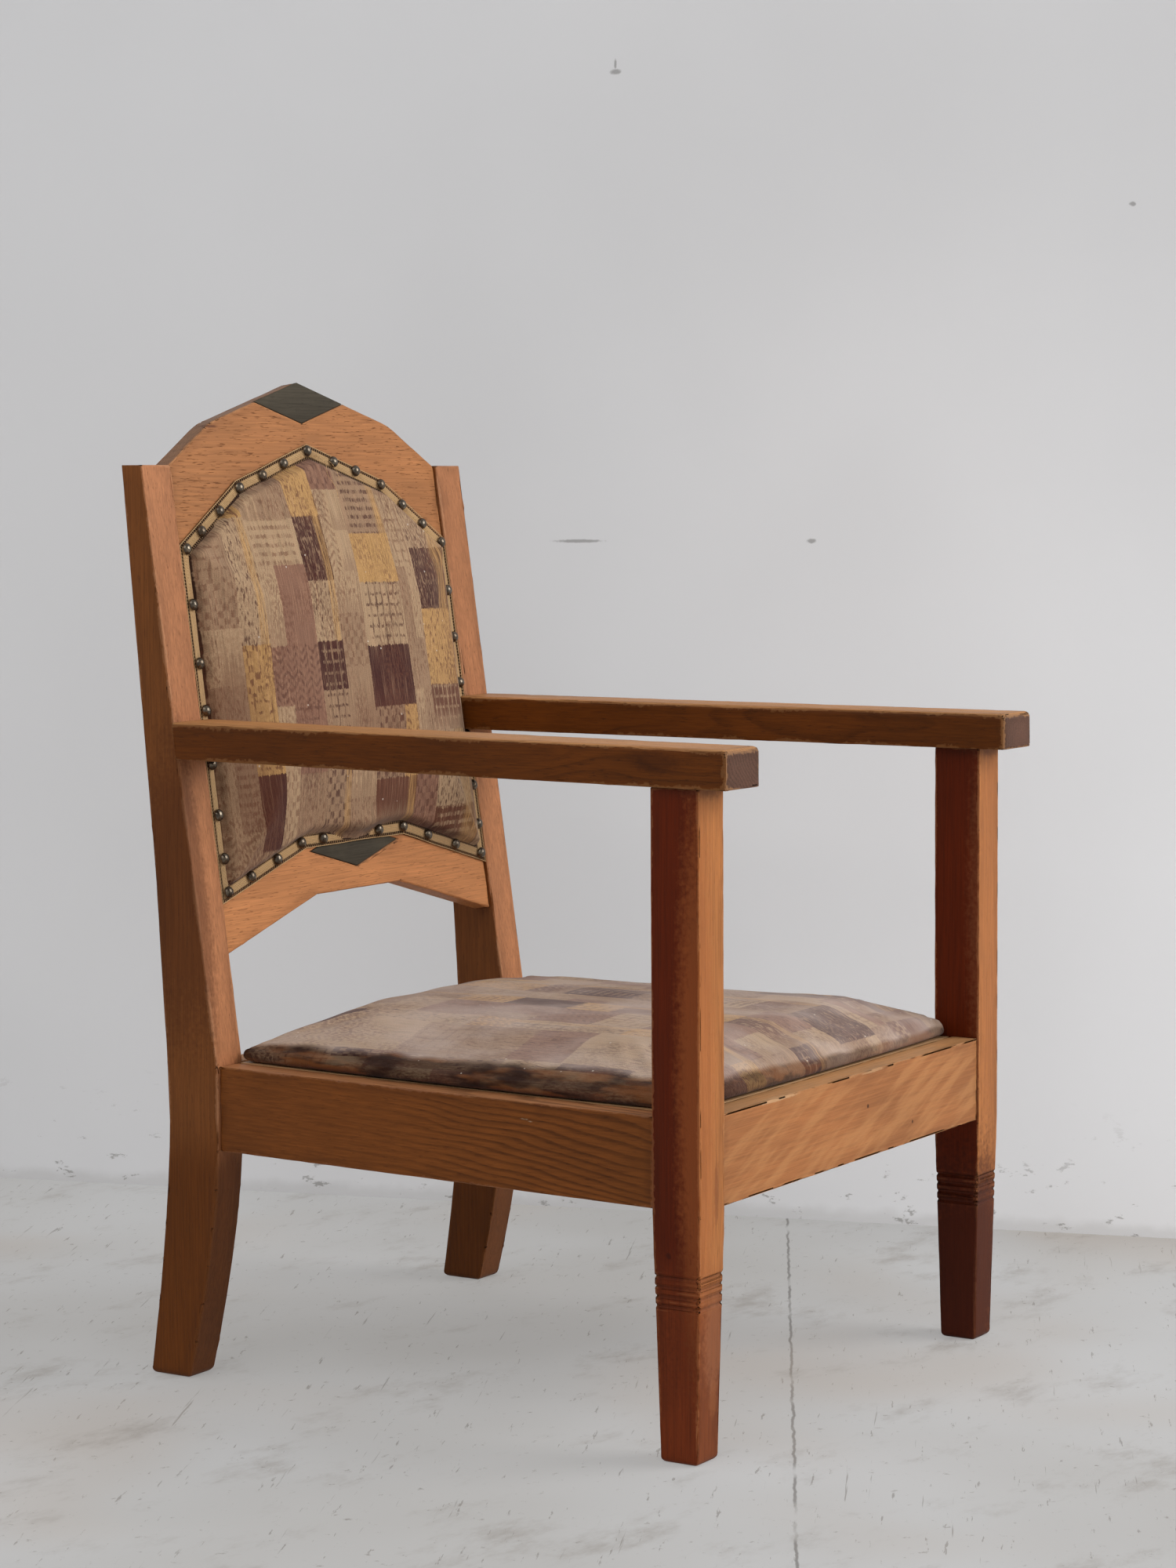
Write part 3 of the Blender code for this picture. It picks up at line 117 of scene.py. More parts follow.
class Graph:
    """Adds nodes to one tree and links them."""

    def __init__(self, tree: bpy.types.NodeTree) -> None:
        """Keeps the tree that the nodes go into."""
        self.tree = tree

    def add(self, kind: str, **settings: object) -> bpy.types.Node:
        """Adds one node.

        Args:
            kind: the node's type, without the word ShaderNode.
            settings: the properties to set on it.

        Returns:
            The new node.
        """
        node = self.tree.nodes.new("ShaderNode" + kind)
        for name, value in settings.items():
            setattr(node, name, value)
        return node

    def put(self, socket: bpy.types.NodeSocket, value: object) -> None:
        """Links a socket to a value, or sets its plain one.

        Args:
            socket: the input to feed.
            value: a value, a number, or three or four numbers.
        """
        if isinstance(value, Value):
            self.tree.links.new(value.socket, socket)
        elif isinstance(value, (int, float)):
            socket.default_value = value
        elif socket.type == "RGBA":
            socket.default_value = (*tuple(value)[:3], 1.0)
        else:
            socket.default_value = tuple(value)

    def give(self, kind: str, output: int | str, inputs: dict[int | str, object] | None = None,
             **settings: object) -> Value:
        """Adds one node, feeds its inputs and gives one of its outputs.

        Args:
            kind: the node's type, without the word ShaderNode.
            output: the output to give.
            inputs: what goes into which input.
            settings: the properties to set on the node.

        Returns:
            The output.
        """
        node = self.add(kind, **settings)
        for name, value in (inputs or {}).items():
            self.put(node.inputs[name], value)
        return Value(self, node.outputs[output])

    def math(self, operation: str, *values: object, clamp: bool = False) -> Value:
        """The result of a Math node on one to three numbers."""
        return self.give("Math", 0, dict(enumerate(values)), operation=operation, use_clamp=clamp)

    def vector(self, operation: str, *values: object) -> Value:
        """The result of a Vector Math node; the length comes out as a number."""
        output = "Value" if operation == "LENGTH" else "Vector"
        return self.give("VectorMath", output, dict(enumerate(values)), operation=operation)

    def scale(self, colour: object, light: object) -> Value:
        """A colour made lighter or darker."""
        return self.give("VectorMath", "Vector", {0: colour, "Scale": light}, operation="SCALE")

    def mix(self, factor: object, first: object, second: object) -> Value:
        """Two colours mixed by a factor."""
        return self.give("Mix", 2, {0: factor, 6: first, 7: second}, data_type="RGBA", blend_type="MIX")

    def between(self, factor: object, first: object, second: object) -> Value:
        """Two numbers mixed by a factor."""
        return self.give("Mix", 0, {0: factor, 2: first, 3: second}, data_type="FLOAT")

    def noise(self, where: object, scale: Triple | float, detail: float = 2.0, rough: float = 0.5) -> Value:
        """Soft noise from 0 to 1.

        Args:
            where: the coordinates that it follows.
            scale: how many waves it has per metre, on each axis or on all.
            detail: how many finer layers it has.
            rough: how strong those are.

        Returns:
            The noise as a number.
        """
        spread = self.vector("MULTIPLY", where, scale if isinstance(scale, tuple) else (scale,) * 3)
        return self.give("TexNoise", 0, {"Vector": spread, "Scale": 1.0, "Detail": detail, "Roughness": rough})

    def chance(self, where: object) -> Value:
        """White noise from 0 to 1, one value for each place."""
        return self.give("TexWhiteNoise", "Value", {"Vector": where})

    def span(self, value: object, low: object, high: object, to_low: object = 0.0, to_high: object = 1.0) -> Value:
        """A value eased from one range to another, held at its ends."""
        parts = dict(enumerate((value, low, high, to_low, to_high)))
        return self.give("MapRange", 0, parts, interpolation_type="SMOOTHSTEP")

    def ramp(self, value: object, stops: Sequence[tuple[float, Colour]], steps: bool = False) -> Value:
        """A colour picked along a ramp.

        Args:
            value: where on the ramp, from 0 to 1.
            stops: each place and its colour.
            steps: True for hard steps.

        Returns:
            The colour.
        """
        node = self.add("ValToRGB")
        node.color_ramp.interpolation = "CONSTANT" if steps else "LINEAR"
        while len(node.color_ramp.elements) < len(stops):
            node.color_ramp.elements.new(0.5)
        for element, (place, colour) in zip(node.color_ramp.elements, stops):
            element.position = place
            element.color = (*colour, 1.0)
        self.put(node.inputs[0], value)
        return Value(self, node.outputs[0])

    def split(self, where: Value) -> tuple[Value, ...]:
        """The three parts of a vector."""
        node = self.give("SeparateXYZ", 0, {0: where}).socket.node
        return tuple(Value(self, socket) for socket in node.outputs)

    def join(self, x: object, y: object, z: object = 0.0) -> Value:
        """A vector made of three numbers."""
        return self.give("CombineXYZ", 0, {0: x, 1: y, 2: z})

    def place(self, group: bpy.types.NodeTree, **inputs: object) -> Values:
        """Places a node group.

        Args:
            group: the group's tree.
            inputs: its inputs by name, with _ for a space.

        Returns:
            What the group gives out, by name.
        """
        node = self.add("Group", node_tree=group)
        for name, value in inputs.items():
            self.put(node.inputs[name.replace("_", " ")], value)
        return {socket.name: Value(self, socket) for socket in node.outputs}


def effect(**inputs: object) -> Callable[[Callable[[Graph, Values], Values]], Callable[[], bpy.types.NodeTree]]:
    """Makes a node group of a function that adds nodes and names what they give out: Color and numbers.

    Args:
        inputs: the group's inputs, with _ for a space. Each one's value is a vector, a colour or a number.

    Returns:
        What turns such a function into one that builds the group, or finds it.
    """
    def wrap(fill: Callable[[Graph, Values], Values]) -> Callable[[], bpy.types.NodeTree]:
        """Names the group after the function."""
        name = fill.__name__.replace("_", " ")

        def build() -> bpy.types.NodeTree:
            """Builds the group the first time, and finds it after that."""
            if name in bpy.data.node_groups:
                return bpy.data.node_groups[name]
            tree = bpy.data.node_groups.new(name, "ShaderNodeTree")
            for label, value in inputs.items():
                kind = "Vector" if isinstance(value, Vector) else "Color" if isinstance(value, tuple) else "Float"
                label = label.replace("_", " ")
                socket = tree.interface.new_socket(label, in_out="INPUT", socket_type="NodeSocket" + kind)
                socket.default_value = (*value, 1.0) if kind == "Color" else value
            graph = Graph(tree)
            start, end = tree.nodes.new("NodeGroupInput"), tree.nodes.new("NodeGroupOutput")
            given = {socket.name: Value(graph, socket) for socket in start.outputs}
            for label, value in fill(graph, given).items():
                kind = "Color" if label == "Color" else "Float"
                tree.interface.new_socket(label, in_out="OUTPUT", socket_type="NodeSocket" + kind)
                graph.put(end.inputs[label], value)
            return tree
        return build
    return wrap


class Effects:
    """The effects that several finishes share. Each adds its nodes to g, from the values that its group is given."""

    @staticmethod
    @effect(Vector=Vector(), Tone=tone(184, 134, 92), Pore_Tone=tone(70, 42, 22), Fleck_Tone=tone(205, 160, 112),
            Ring=0.006, Lean=0.03, Figure=0.6, Pores=0.8, Fleck=0.0)
    def oak_grain(g: Graph, given: Values) -> Values:
        """Rings, open pores, fibres and ray fleck of oak; X runs along the grain."""
        where, base = given["Vector"], given["Tone"]
        x, y, z = g.split(where)
        slow = g.noise(where, (3.4, 12.0, 12.0), 2.0) - 0.5
        quick = g.noise(where, (9.0, 60.0, 60.0), 2.0) - 0.5
        away = g.vector("LENGTH", g.join(0.0, y, z)) + x * given["Lean"] + slow * 0.044 + quick * 0.0034
        ring = (away / given["Ring"]).fract()
        early = g.span(ring, 0.0, 0.13) * g.span(ring, 0.13, 0.62, 1.0, 0.0)
        early = early * (given["Figure"] * g.span(g.noise(where, (3.0, 12.0, 12.0), 2.0), 0.40, 0.60, 0.12, 1.0))
        fibre = g.noise(where, (14.0, 620.0, 620.0), 2.0, 0.6)
        blotch = g.noise(where, (4.0, 13.0, 13.0), 3.0, 0.55)
        dash = g.noise(where, (80.0, 1150.0, 1150.0), 1.0, 0.5)
        gate = g.between(early, 0.650, 0.560)
        pores = g.span(dash - gate, 0.0, 0.07) * given["Pores"]
        light = g.between(early, 1.06, 0.66) * g.span(fibre, 0.25, 0.75, 0.84, 1.14)
        body = g.scale(base, light * g.span(blotch, 0.25, 0.75, 0.82, 1.14))
        slant = g.join(x * -30.0 + z * 84.0, y * 60.0, z * 5.0 + x * 11.0)
        ray = g.span(g.noise(slant, 1.0, 2.0, 0.6), 0.42, 0.68) * given["Fleck"]
        body = g.mix(pores, g.mix(ray, body, given["Fleck Tone"]), given["Pore Tone"])
        height = fibre * 0.25 - pores * 0.8 - early * 0.25
        return {"Color": body, "Height": height, "Roughness": 0.40 + pores * 0.3 + blotch * 0.16}

    @staticmethod
    @effect(Vector=Vector(), Distance=1.0, Width=0.003, Amount=0.8)
    def arris_wear(g: Graph, given: Values) -> Values:
        """Where a corner is rubbed pale, and where dirt has settled beside it, from the distance to the corner."""
        where, away = given["Vector"], given["Distance"]
        broad = g.noise(where, 16.0, 3.0, 0.6)
        small = g.noise(where, 170.0, 2.0, 0.6)
        reach = g.span(broad, 0.36, 0.66, 0.12, 1.5) * given["Width"]
        reach = reach * g.span(small, 0.3, 0.7, 0.5, 1.5)
        rubbed = g.math("SUBTRACT", 1.0, away / reach, clamp=True)
        rubbed = g.span(rubbed, 0.05, 0.55) * given["Amount"]
        dirt = g.span(away, 0.0, 0.004) * g.span(away, 0.004, 0.012, 1.0, 0.0)
        dirt = dirt * g.span(broad, 0.35, 0.65)
        chips = g.span(away, 0.0005, 0.0028, 1.0, 0.0) * g.span(small, 0.62, 0.70)
        chips = chips * (given["Amount"] > 0.01)
        return {"Rubbed": rubbed, "Dirt": dirt, "Chips": chips}

    @staticmethod
    @effect(Vector=Vector(), Place=Vector(), Reach=Vector((0.01, 0.01, 0.01)), Amount=0.8)
    def mark(g: Graph, given: Values) -> Values:
        """One ragged spot of its own length, width and place."""
        where = given["Vector"]
        apart = g.vector("DIVIDE", g.vector("SUBTRACT", where, given["Place"]), given["Reach"])
        far = g.vector("LENGTH", apart)
        far = far + (g.noise(where, 240.0, 2.0) - 0.5) * 0.7
        return {"Mask": g.span(far, 0.5, 1.15, 1.0, 0.0) * given["Amount"]}

    @staticmethod
    @effect(Vector=Vector(), Column=0.052, Block=0.125, Fade=0.5, Faded=tone(170, 148, 126))
    def block_print(g: Graph, given: Values) -> Values:
        """Columns of printed blocks with plain, barred, zigzag, chequered and dashed fields, their ends feathered."""
        where, fade = given["Vector"], given["Fade"]
        fine = (g.noise(where, (430.0, 430.0, 1.0), 2.0) - 0.5) * 0.0022
        streak = g.noise(where, (620.0, 22.0, 1.0), 2.0, 0.6) - 0.5
        u, v, _ = g.split(where)
        u = u + fine
        v = v + fine + streak * 0.007
        sway = (u * (2 * math.pi / 0.127)).sine() * 0.012
        column_at = (u + sway) / given["Column"]
        column = column_at.floor()
        across = column_at.fract()
        up = v / given["Block"] + g.chance(g.join(column, 4.0)) * 7.0
        block, along = up.floor(), up.fract()
        cut = 0.32 + g.chance(g.join(column, block, 3.0)) * 0.36
        upper = along > cut
        beside = (across > 0.52) * (g.chance(g.join(column, block, upper + 31.0)) > 0.74)
        piece = upper + beside * 2.0
        first = g.chance(g.join(column, block, piece + 10.0))
        second = g.chance(g.join(column, block, piece + 20.0))
        taupe, pale, ochre = tone(158, 126, 98), tone(180, 149, 116), tone(192, 148, 92)
        plum, brown, mauve = tone(66, 24, 22), tone(100, 56, 38), tone(142, 102, 82)
        busy = abs(column % 2.0)
        calm_ground = g.ramp(first, [(0.0, taupe), (0.46, pale), (0.80, mauve)], steps=True)
        busy_stops = [(0.0, plum), (0.24, taupe), (0.46, ochre), (0.62, brown), (0.80, pale)]
        ground = g.mix(busy, calm_ground, g.ramp(first, busy_stops, steps=True))
        calm_ink = g.ramp(first, [(0.0, brown), (0.46, brown), (0.80, plum)], steps=True)
        busy_stops = [(0.0, taupe), (0.24, plum), (0.46, brown), (0.62, pale), (0.80, plum)]
        ink = g.mix(busy, calm_ink, g.ramp(first, busy_stops, steps=True))
        inside = (across > 0.08) * (across < 0.92)
        bars = ((v / 0.0088).fract() < 0.45) * inside
        wave = abs((u / 0.017).fract() - 0.5)
        zigzag = ((v + wave * 0.016) / 0.0082).fract() < 0.45
        odd_u, odd_v = ((axis / 0.0135).fract() < 0.5 for axis in (u, v))
        checks = abs(odd_u - odd_v)
        dashes = g.span(g.noise(where, (520.0, 150.0, 1.0), 1.0), 0.50, 0.56)
        panes = g.math("MAXIMUM", *((axis / 0.0108).fract() < 0.24 for axis in (u, v))) * inside
        motif = bars * g.math("COMPARE", second, 0.50, 0.03)
        for mask, place, reach in ((zigzag, 0.56, 0.03), (checks, 0.63, 0.03), (panes, 0.72, 0.06),
                                   (dashes, 0.90, 0.10), (dashes, 0.12, 0.12)):
            motif = g.math("MAXIMUM", motif, mask * g.math("COMPARE", second, place, reach))
        worn_ink = g.span(g.noise(where, (300.0, 60.0, 1.0), 2.0), 0.38, 0.62, 0.10, 0.80)
        worn_ink = worn_ink * g.span(busy, 0.0, 1.0, 0.72, 1.0)
        ground = g.mix(g.span(streak, -0.02, 0.26, 0.0, 0.5), ground, taupe)
        colour = g.mix(motif * worn_ink, ground, ink)
        # stippling drifts in and out over all the fields
        specks = g.span(g.noise(where, (560.0, 190.0, 1.0), 1.0), 0.47, 0.56)
        drift = g.span(g.noise(where, (17.0, 9.0, 1.0), 2.0), 0.46, 0.62)
        colour = g.mix(specks * drift * 0.55, colour, tone(104, 62, 46))
        # dark fields thin out downwards into single threads
        thin = (along / cut).fract() + streak * 1.5
        thin = g.span(thin, 0.15, 0.5, 1.0, 0.0) * g.math("COMPARE", first, 0.71, 0.09)
        colour = g.mix(thin * 0.75, colour, taupe)
        # narrow ochre stripes run the whole length beside some of the columns
        striped = g.chance(g.join(column, 55.0)) > 0.52
        stripe = g.span(abs(across - 0.82), 0.10, 0.19, 1.0, 0.0) * striped
        stripe = stripe * g.span(streak, -0.18, 0.16, 0.15, 0.70)
        stripe = stripe * (g.chance(g.join(column, block, 77.0)) < 0.7)
        colour = g.mix(stripe, colour, ochre)
        light = g.span(streak, -0.25, 0.25, 0.76, 1.18)
        light = light * g.span(g.noise(where, (1500.0, 1100.0, 1.0), 1.0), 0.25, 0.75, 0.82, 1.16)
        shaded = g.scale(colour, light)
        rubbed = g.span(g.noise(where, (9.0, 7.0, 1.0), 3.0, 0.6), 0.35, 0.68)
        rubbed = (rubbed * 0.6 + 0.25) * fade
        colour = g.mix(rubbed, shaded, given["Faded"])
        height = g.noise(where, (1300.0, 900.0, 1.0), 1.0)
        return {"Color": colour, "Height": height + streak * 0.6}

    @staticmethod
    @effect(Vector=Vector(), Share=0.10)
    def lint(g: Graph, given: Values) -> Values:
        """Small pale specks of fluff, scattered thinly."""
        where = g.vector("MULTIPLY", given["Vector"], (85.0, 85.0, 85.0))
        away = g.give("TexVoronoi", "Distance", {"Vector": where, "Scale": 1.0})
        few = g.chance(Value(g, away.socket.node.outputs["Position"])) < given["Share"]
        return {"Mask": (away < 0.085) * few}

    @staticmethod
    @effect(Vector=Vector(), Pitch=0.0016, Tone=tone(168, 136, 92))
    def plain_weave(g: Graph, given: Values) -> Values:
        """Coarse threads over and under, with slubs."""
        where, pitch = given["Vector"], given["Pitch"]
        u, v, _ = g.split(where)
        u = (u + g.noise(where, (30.0, 240.0, 1.0), 1.0) * 0.0006) / pitch
        v = (v + g.noise(where, (240.0, 30.0, 1.0), 1.0) * 0.0006) / pitch
        odd = abs((u.floor() + v.floor()) % 2.0)
        warp = (u.fract() * math.pi).sine()
        weft = (v.fract() * math.pi).sine()
        height = g.between(odd, warp, weft)
        slub = g.noise(where, (260.0, 260.0, 1.0), 2.0)
        light = g.span(height, 0.0, 0.9, 0.42, 1.05) * g.span(slub, 0.25, 0.75, 0.8, 1.15)
        colour = g.scale(given["Tone"], light)
        return {"Color": colour, "Height": height}


# ------------------------------------------------------------------- finishes


class Grain(Enum):
    """Which way the grain of a piece runs, as a turn that brings it onto X."""

    ACROSS = (0.0, 0.0, 0.0)
    ACROSS_RAKED = (RAKE, 0.0, 0.0)
    DEEP = (0.0, 0.0, -math.pi / 2)
    UPRIGHT = (0.0, math.pi / 2, 0.0)


@dataclass(frozen=True)
class Mark:
    """A spot, scratch, stain or patch of painted shade on a piece: where it is, how far it reaches each way, its colour
    and its strength.
    """

    place: Triple
    reach: Triple
    colour: Colour
    amount: float = 0.8


class Shader:
    """A material with one Principled shader and its graph."""

    def __init__(self, name: str) -> None:
        """Makes the material, and the value that gives object coordinates."""
        self.material = bpy.data.materials.new(name)
        self.material.use_nodes = True
        self.graph = Graph(self.material.node_tree)
        self.shader = self.material.node_tree.nodes["Principled BSDF"]
        self.where = self.graph.give("TexCoord", "Object")

    def turned(self, turn: Triple, shift: Triple = (0.0, 0.0, 0.0)) -> Value:
        """Object coordinates turned and shifted."""
        return self.graph.give("Mapping", 0, {"Vector": self.where, "Rotation": turn, "Location": shift})

    def own(self, name: str) -> Value:
        """One of the piece's own attributes."""
        return self.graph.give("Attribute", "Fac", attribute_name=name)

    def spotted(self, colour: Value, marks: Iterable[Mark]) -> Value:
        """Lays every mark over a colour.

        Args:
            colour: the colour so far.
            marks: the marks, the last one on top.

        Returns:
            The marked colour.
        """
        for spot in marks:
            placed = {"Place": spot.place, "Reach": spot.reach, "Amount": spot.amount}
            mask = self.graph.place(Effects.mark(), Vector=self.where, **placed)["Mask"]
            colour = self.graph.mix(mask, colour, spot.colour)
        return colour

    def feed(self, **inputs: object) -> None:
        """Sets or links the shader's sockets, with _ for a space."""
        for name, value in inputs.items():
            self.graph.put(self.shader.inputs[name.replace("_", " ")], value)

    def bump(self, height: object, distance: float, strength: float = 1.0) -> None:
        """Feeds the shader's normal from a height."""
        self.feed(Normal=self.graph.give("Bump", 0, {"Strength": strength, "Distance": distance, "Height": height}))


class Finish:
    """A finish with a material that is built once. Each kind of finish adds its own nodes in paint."""

    name: str

    def paint(self, s: Shader, g: Graph) -> None:
        """Adds the finish's nodes.

        Args:
            s: its shader.
            g: the shader's graph.
        """
        raise NotImplementedError

    def material(self) -> bpy.types.Material:
        """Builds the material, or finds it.

        Returns:
            The material, under the finish's name.
        """
        if self.name not in bpy.data.materials:
            shader = Shader(self.name)
            self.paint(shader, shader.graph)
        return bpy.data.materials[self.name]


@dataclass(frozen=True)
class OakFinish(Finish):
    """Stained and waxed oak, worn pale on its corners. Each face takes a tone by the way it faces: the darker sides
    carry painted shade and the lighter tops painted light, as well as some real difference of stain.
    """

    name: str
    grain: Grain
    front: Colour = tone(196, 140, 92)
    side: Colour = tone(132, 82, 52)
    top: Colour = tone(190, 140, 92)
    worn: Colour = tone(216, 168, 128)
    pore: Colour = tone(74, 42, 24)
    fleck_tone: Colour = tone(222, 172, 118)
    ring: float = 0.0062
    lean: float = 0.03
    figure: float = 0.55
    pores: float = 0.75
    fleck: float = 0.0
    pith: Triple = (0.0, 0.05, 0.07)
    calm: tuple[float, float] | None = None
    wear: float = 0.0018
    wear_amount: float = 0.45
    foot: Colour | None = None
    foot_top: float = 0.20
    tread: float = 0.7
    reeds: tuple[float, float, int] | None = None
    marks: tuple[Mark, ...] = ()

    def paint(self, s: Shader, g: Graph) -> None:
        """Adds the nodes, as Finish says."""
        plain = s.where
        nx, _, nz = g.split(g.give("NewGeometry", "True Normal"))
        # painted shade and light: the tone follows the way a face turns, darker on the X-facing sides and lighter on
        # the tops, partly a real difference of stain
        base = g.mix(g.span(abs(nx), 0.45, 0.85), self.front, self.side)
        base = g.mix(g.span(nz, 0.45, 0.85), base, self.top)
        tread = 0.0
        if self.foot:
            height = g.split(plain)[2]
            low = height + (g.noise(plain, (18.0, 18.0, 6.0), 2.0) - 0.5) * 0.05
            tread = g.span(low, self.foot_top - 0.05, self.foot_top + 0.02, 0.85, 0.0)
            base = g.mix(tread, base, self.foot)
        figure = g.span(g.split(plain)[1], *self.calm, self.figure, 0.2 * self.figure) if self.calm else self.figure
        oak = g.place(Effects.oak_grain(), Vector=s.turned(self.grain.value, self.pith), Tone=base, Pore_Tone=self.pore,
                      Fleck_Tone=self.fleck_tone, Ring=self.ring, Lean=self.lean, Figure=figure, Pores=self.pores,
                      Fleck=self.fleck)
        wear = g.place(Effects.arris_wear(), Vector=plain, Distance=s.own("edge_distance"),
                       Width=self.wear, Amount=self.wear_amount)
        colour = g.mix(wear["Dirt"] * 0.22, oak["Color"], self.pore)
        # on the X-facing sides the pale wear is drawn towards their own tone, which carries painted shade
        rubbed = g.mix(g.span(abs(nx), 0.5, 0.95, 0.0, 0.55), self.worn, base)
        rubbed = g.mix(tread * self.tread, rubbed, base)
        colour = g.mix(wear["Rubbed"], colour, rubbed)
        colour = g.mix(wear["Chips"] * (0.8 * self.wear_amount), colour, self.pore)
        if self.reeds:
            first, pitch, count = self.reeds
            level = (g.split(plain)[2] - (first - pitch / 2)) / pitch
            inside = (level > 0.0) * (level < float(count))
            groove = abs(level.fract() - 0.5)
            colour = g.mix(inside * g.span(groove, 0.06, 0.22, 0.36, 0.0), colour, tone(54, 24, 12))
            ridge = g.span(groove, 0.36, 0.48) * g.span(g.noise(plain, 60.0, 3.0), 0.40, 0.62)
            colour = g.mix(inside * ridge * 0.20, colour, self.worn)
        colour = s.spotted(colour, self.marks)
        rough = oak["Roughness"] + wear["Rubbed"] * 0.12
        s.feed(Base_Color=colour, Roughness=rough, Specular_IOR_Level=0.13)
        s.bump(oak["Height"], 0.0005, 0.7)


@dataclass(frozen=True)
class PlushFinish(Finish):
    """Short-piled printed cloth, faded where it is sat on, dark and rusty along its worn hems, where soil and painted
    shade darken it together.
    """

    name: str
    fade: float = 0.4
    faded: Colour = tone(172, 150, 128)
    soiled: Colour = tone(46, 24, 12)
    column: float = 0.052
    block: float = 0.125
    shift: tuple[float, float] = (0.0, 0.0)
    lint: float = 0.10
    # how strongly the hem darkens, for soil and painted shade together
    dirt: tuple[float, float] = (0.1, 0.55)
    rust: float = 0.0
    marks: tuple[Mark, ...] = ()

    def paint(self, s: Shader, g: Graph) -> None:
        """Adds the nodes; the print follows the UV map, and the darkened hem, soil and painted shade together, the
        piece's own attribute.
        """
        laid = g.give("UVMap", "UV", uv_map="cloth")
        plain = s.where
        moved = g.vector("ADD", laid, (*self.shift, 0.0))
        hem = s.own("hem")
        fade = g.math("SUBTRACT", 1.0, hem, clamp=True) * self.fade
        cloth = g.place(Effects.block_print(), Vector=moved, Column=self.column, Block=self.block, Fade=fade,
                        Faded=self.faded)
        # the hem attribute darkens the cloth towards the soil-and-shade tone: soil, and painted shade where the pads
        # put it, under and beside the braid and along the seat's left side
        dirt = hem * g.span(g.noise(plain, (14.0, 14.0, 60.0), 4.0, 0.6), 0.34, 0.62, self.dirt[0], self.dirt[1])
        rusty = g.span(g.noise(plain, (22.0, 9.0, 60.0), 3.0, 0.6), 0.47, 0.60, 0.0, self.rust)
        colour = g.mix(dirt, cloth["Color"], g.mix(rusty, self.soiled, tone(122, 72, 34)))
        specks = g.place(Effects.lint(), Vector=plain, Share=self.lint)["Mask"]
        colour = g.mix(specks * 0.7, colour, tone(225, 214, 200))
        colour = s.spotted(colour, self.marks)
        s.feed(Base_Color=colour, Roughness=0.95, Specular_IOR_Level=0.15, Sheen_Weight=0.10, Sheen_Roughness=0.5)
        s.bump(cloth["Height"], 0.0006, 0.8)


@dataclass(frozen=True)
class WovenFinish(Finish):
    """Plain woven jute or canvas, on two of the object's axes."""

    name: str
    colour: Colour = tone(168, 136, 92)
    pitch: float = 0.0018
    turn: Triple = (0.0, 0.0, 0.0)

    def paint(self, s: Shader, g: Graph) -> None:
        """Adds the nodes, as Finish says."""
        weave = g.place(Effects.plain_weave(), Vector=s.turned(self.turn), Pitch=self.pitch, Tone=self.colour)
        age = g.span(g.noise(s.where, 14.0, 3.0), 0.3, 0.7, 0.0, 0.45)
        colour = g.mix(age, weave["Color"], tone(96, 74, 50))
        s.feed(Base_Color=colour, Roughness=0.95, Specular_IOR_Level=0.1)
        s.bump(weave["Height"], 0.0006, 0.9)


@dataclass(frozen=True)
class BraidFinish(Finish):
    """Twisted straw-coloured thread with painted shade in its hollows, between its twists and plies and round its
    openings, and dirt here and there.
    """

    name: str = "straw_thread"
    colour: Colour = tone(232, 190, 134)
    deep: Colour = tone(92, 52, 24)
    rows: tuple[float, ...] = (0.00215, 0.01285)

    def paint(self, s: Shader, g: Graph) -> None:
        """Adds the nodes, as Finish says."""
        laid = g.give("UVMap", "UV", uv_map="cloth")
        u, v, _ = g.split(laid)
        twist = ((u + v * 0.7) * (2 * math.pi / 0.0011)).sine()
        stray = g.noise(s.where, 420.0, 2.0)
        soil = g.noise(s.where, 30.0, 3.0, 0.6)
        # painted shade: the creases between the twists and plies and the rows round the openings are darkened with the
        # deep tone
        colour = g.mix(g.span(twist, -0.9, 0.3, 0.35, 0.0), self.colour, self.deep)
        colour = g.mix(g.span(stray, 0.52, 0.8, 0.0, 0.35), colour, self.deep)
        ply = (v * (2 * math.pi / 0.0016)).sine()
        colour = g.mix(g.span(ply, -1.0, 0.2, 0.4, 0.0), colour, self.deep)
        for row in self.rows:
            away = abs(v - row)
            colour = g.mix(g.span(away, 0.0013, 0.0017, 0.45, 0.0), colour, self.deep)
        colour = g.mix(g.span(soil, 0.55, 0.75, 0.0, 0.45), colour, tone(168, 122, 74))
        s.feed(Base_Color=colour, Roughness=0.75, Specular_IOR_Level=0.25, Sheen_Weight=0.1)
        s.bump(twist + stray, 0.0003, 0.8)


@dataclass(frozen=True)
class BronzeFinish(Finish):
    """Dark bronzed nail heads, brighter and smoother in patches."""

    name: str = "bronzed_nail"

    def paint(self, s: Shader, g: Graph) -> None:
        """Adds the nodes, as Finish says."""
        plain = s.where
        patch = g.noise(plain, 260.0, 3.0, 0.6)
        broad = g.noise(plain, 24.0, 2.0)
        colour = g.ramp(patch, [(0.3, tone(66, 58, 50)), (0.52, tone(98, 89, 78)), (0.7, tone(136, 124, 106))])
        colour = g.mix(g.span(broad, 0.45, 0.6, 0.0, 0.5), colour, tone(86, 70, 54))
        s.feed(Base_Color=colour, Metallic=0.9, Roughness=g.span(patch, 0.3, 0.7, 0.30, 0.17))
        s.bump(patch, 0.0002, 0.5)


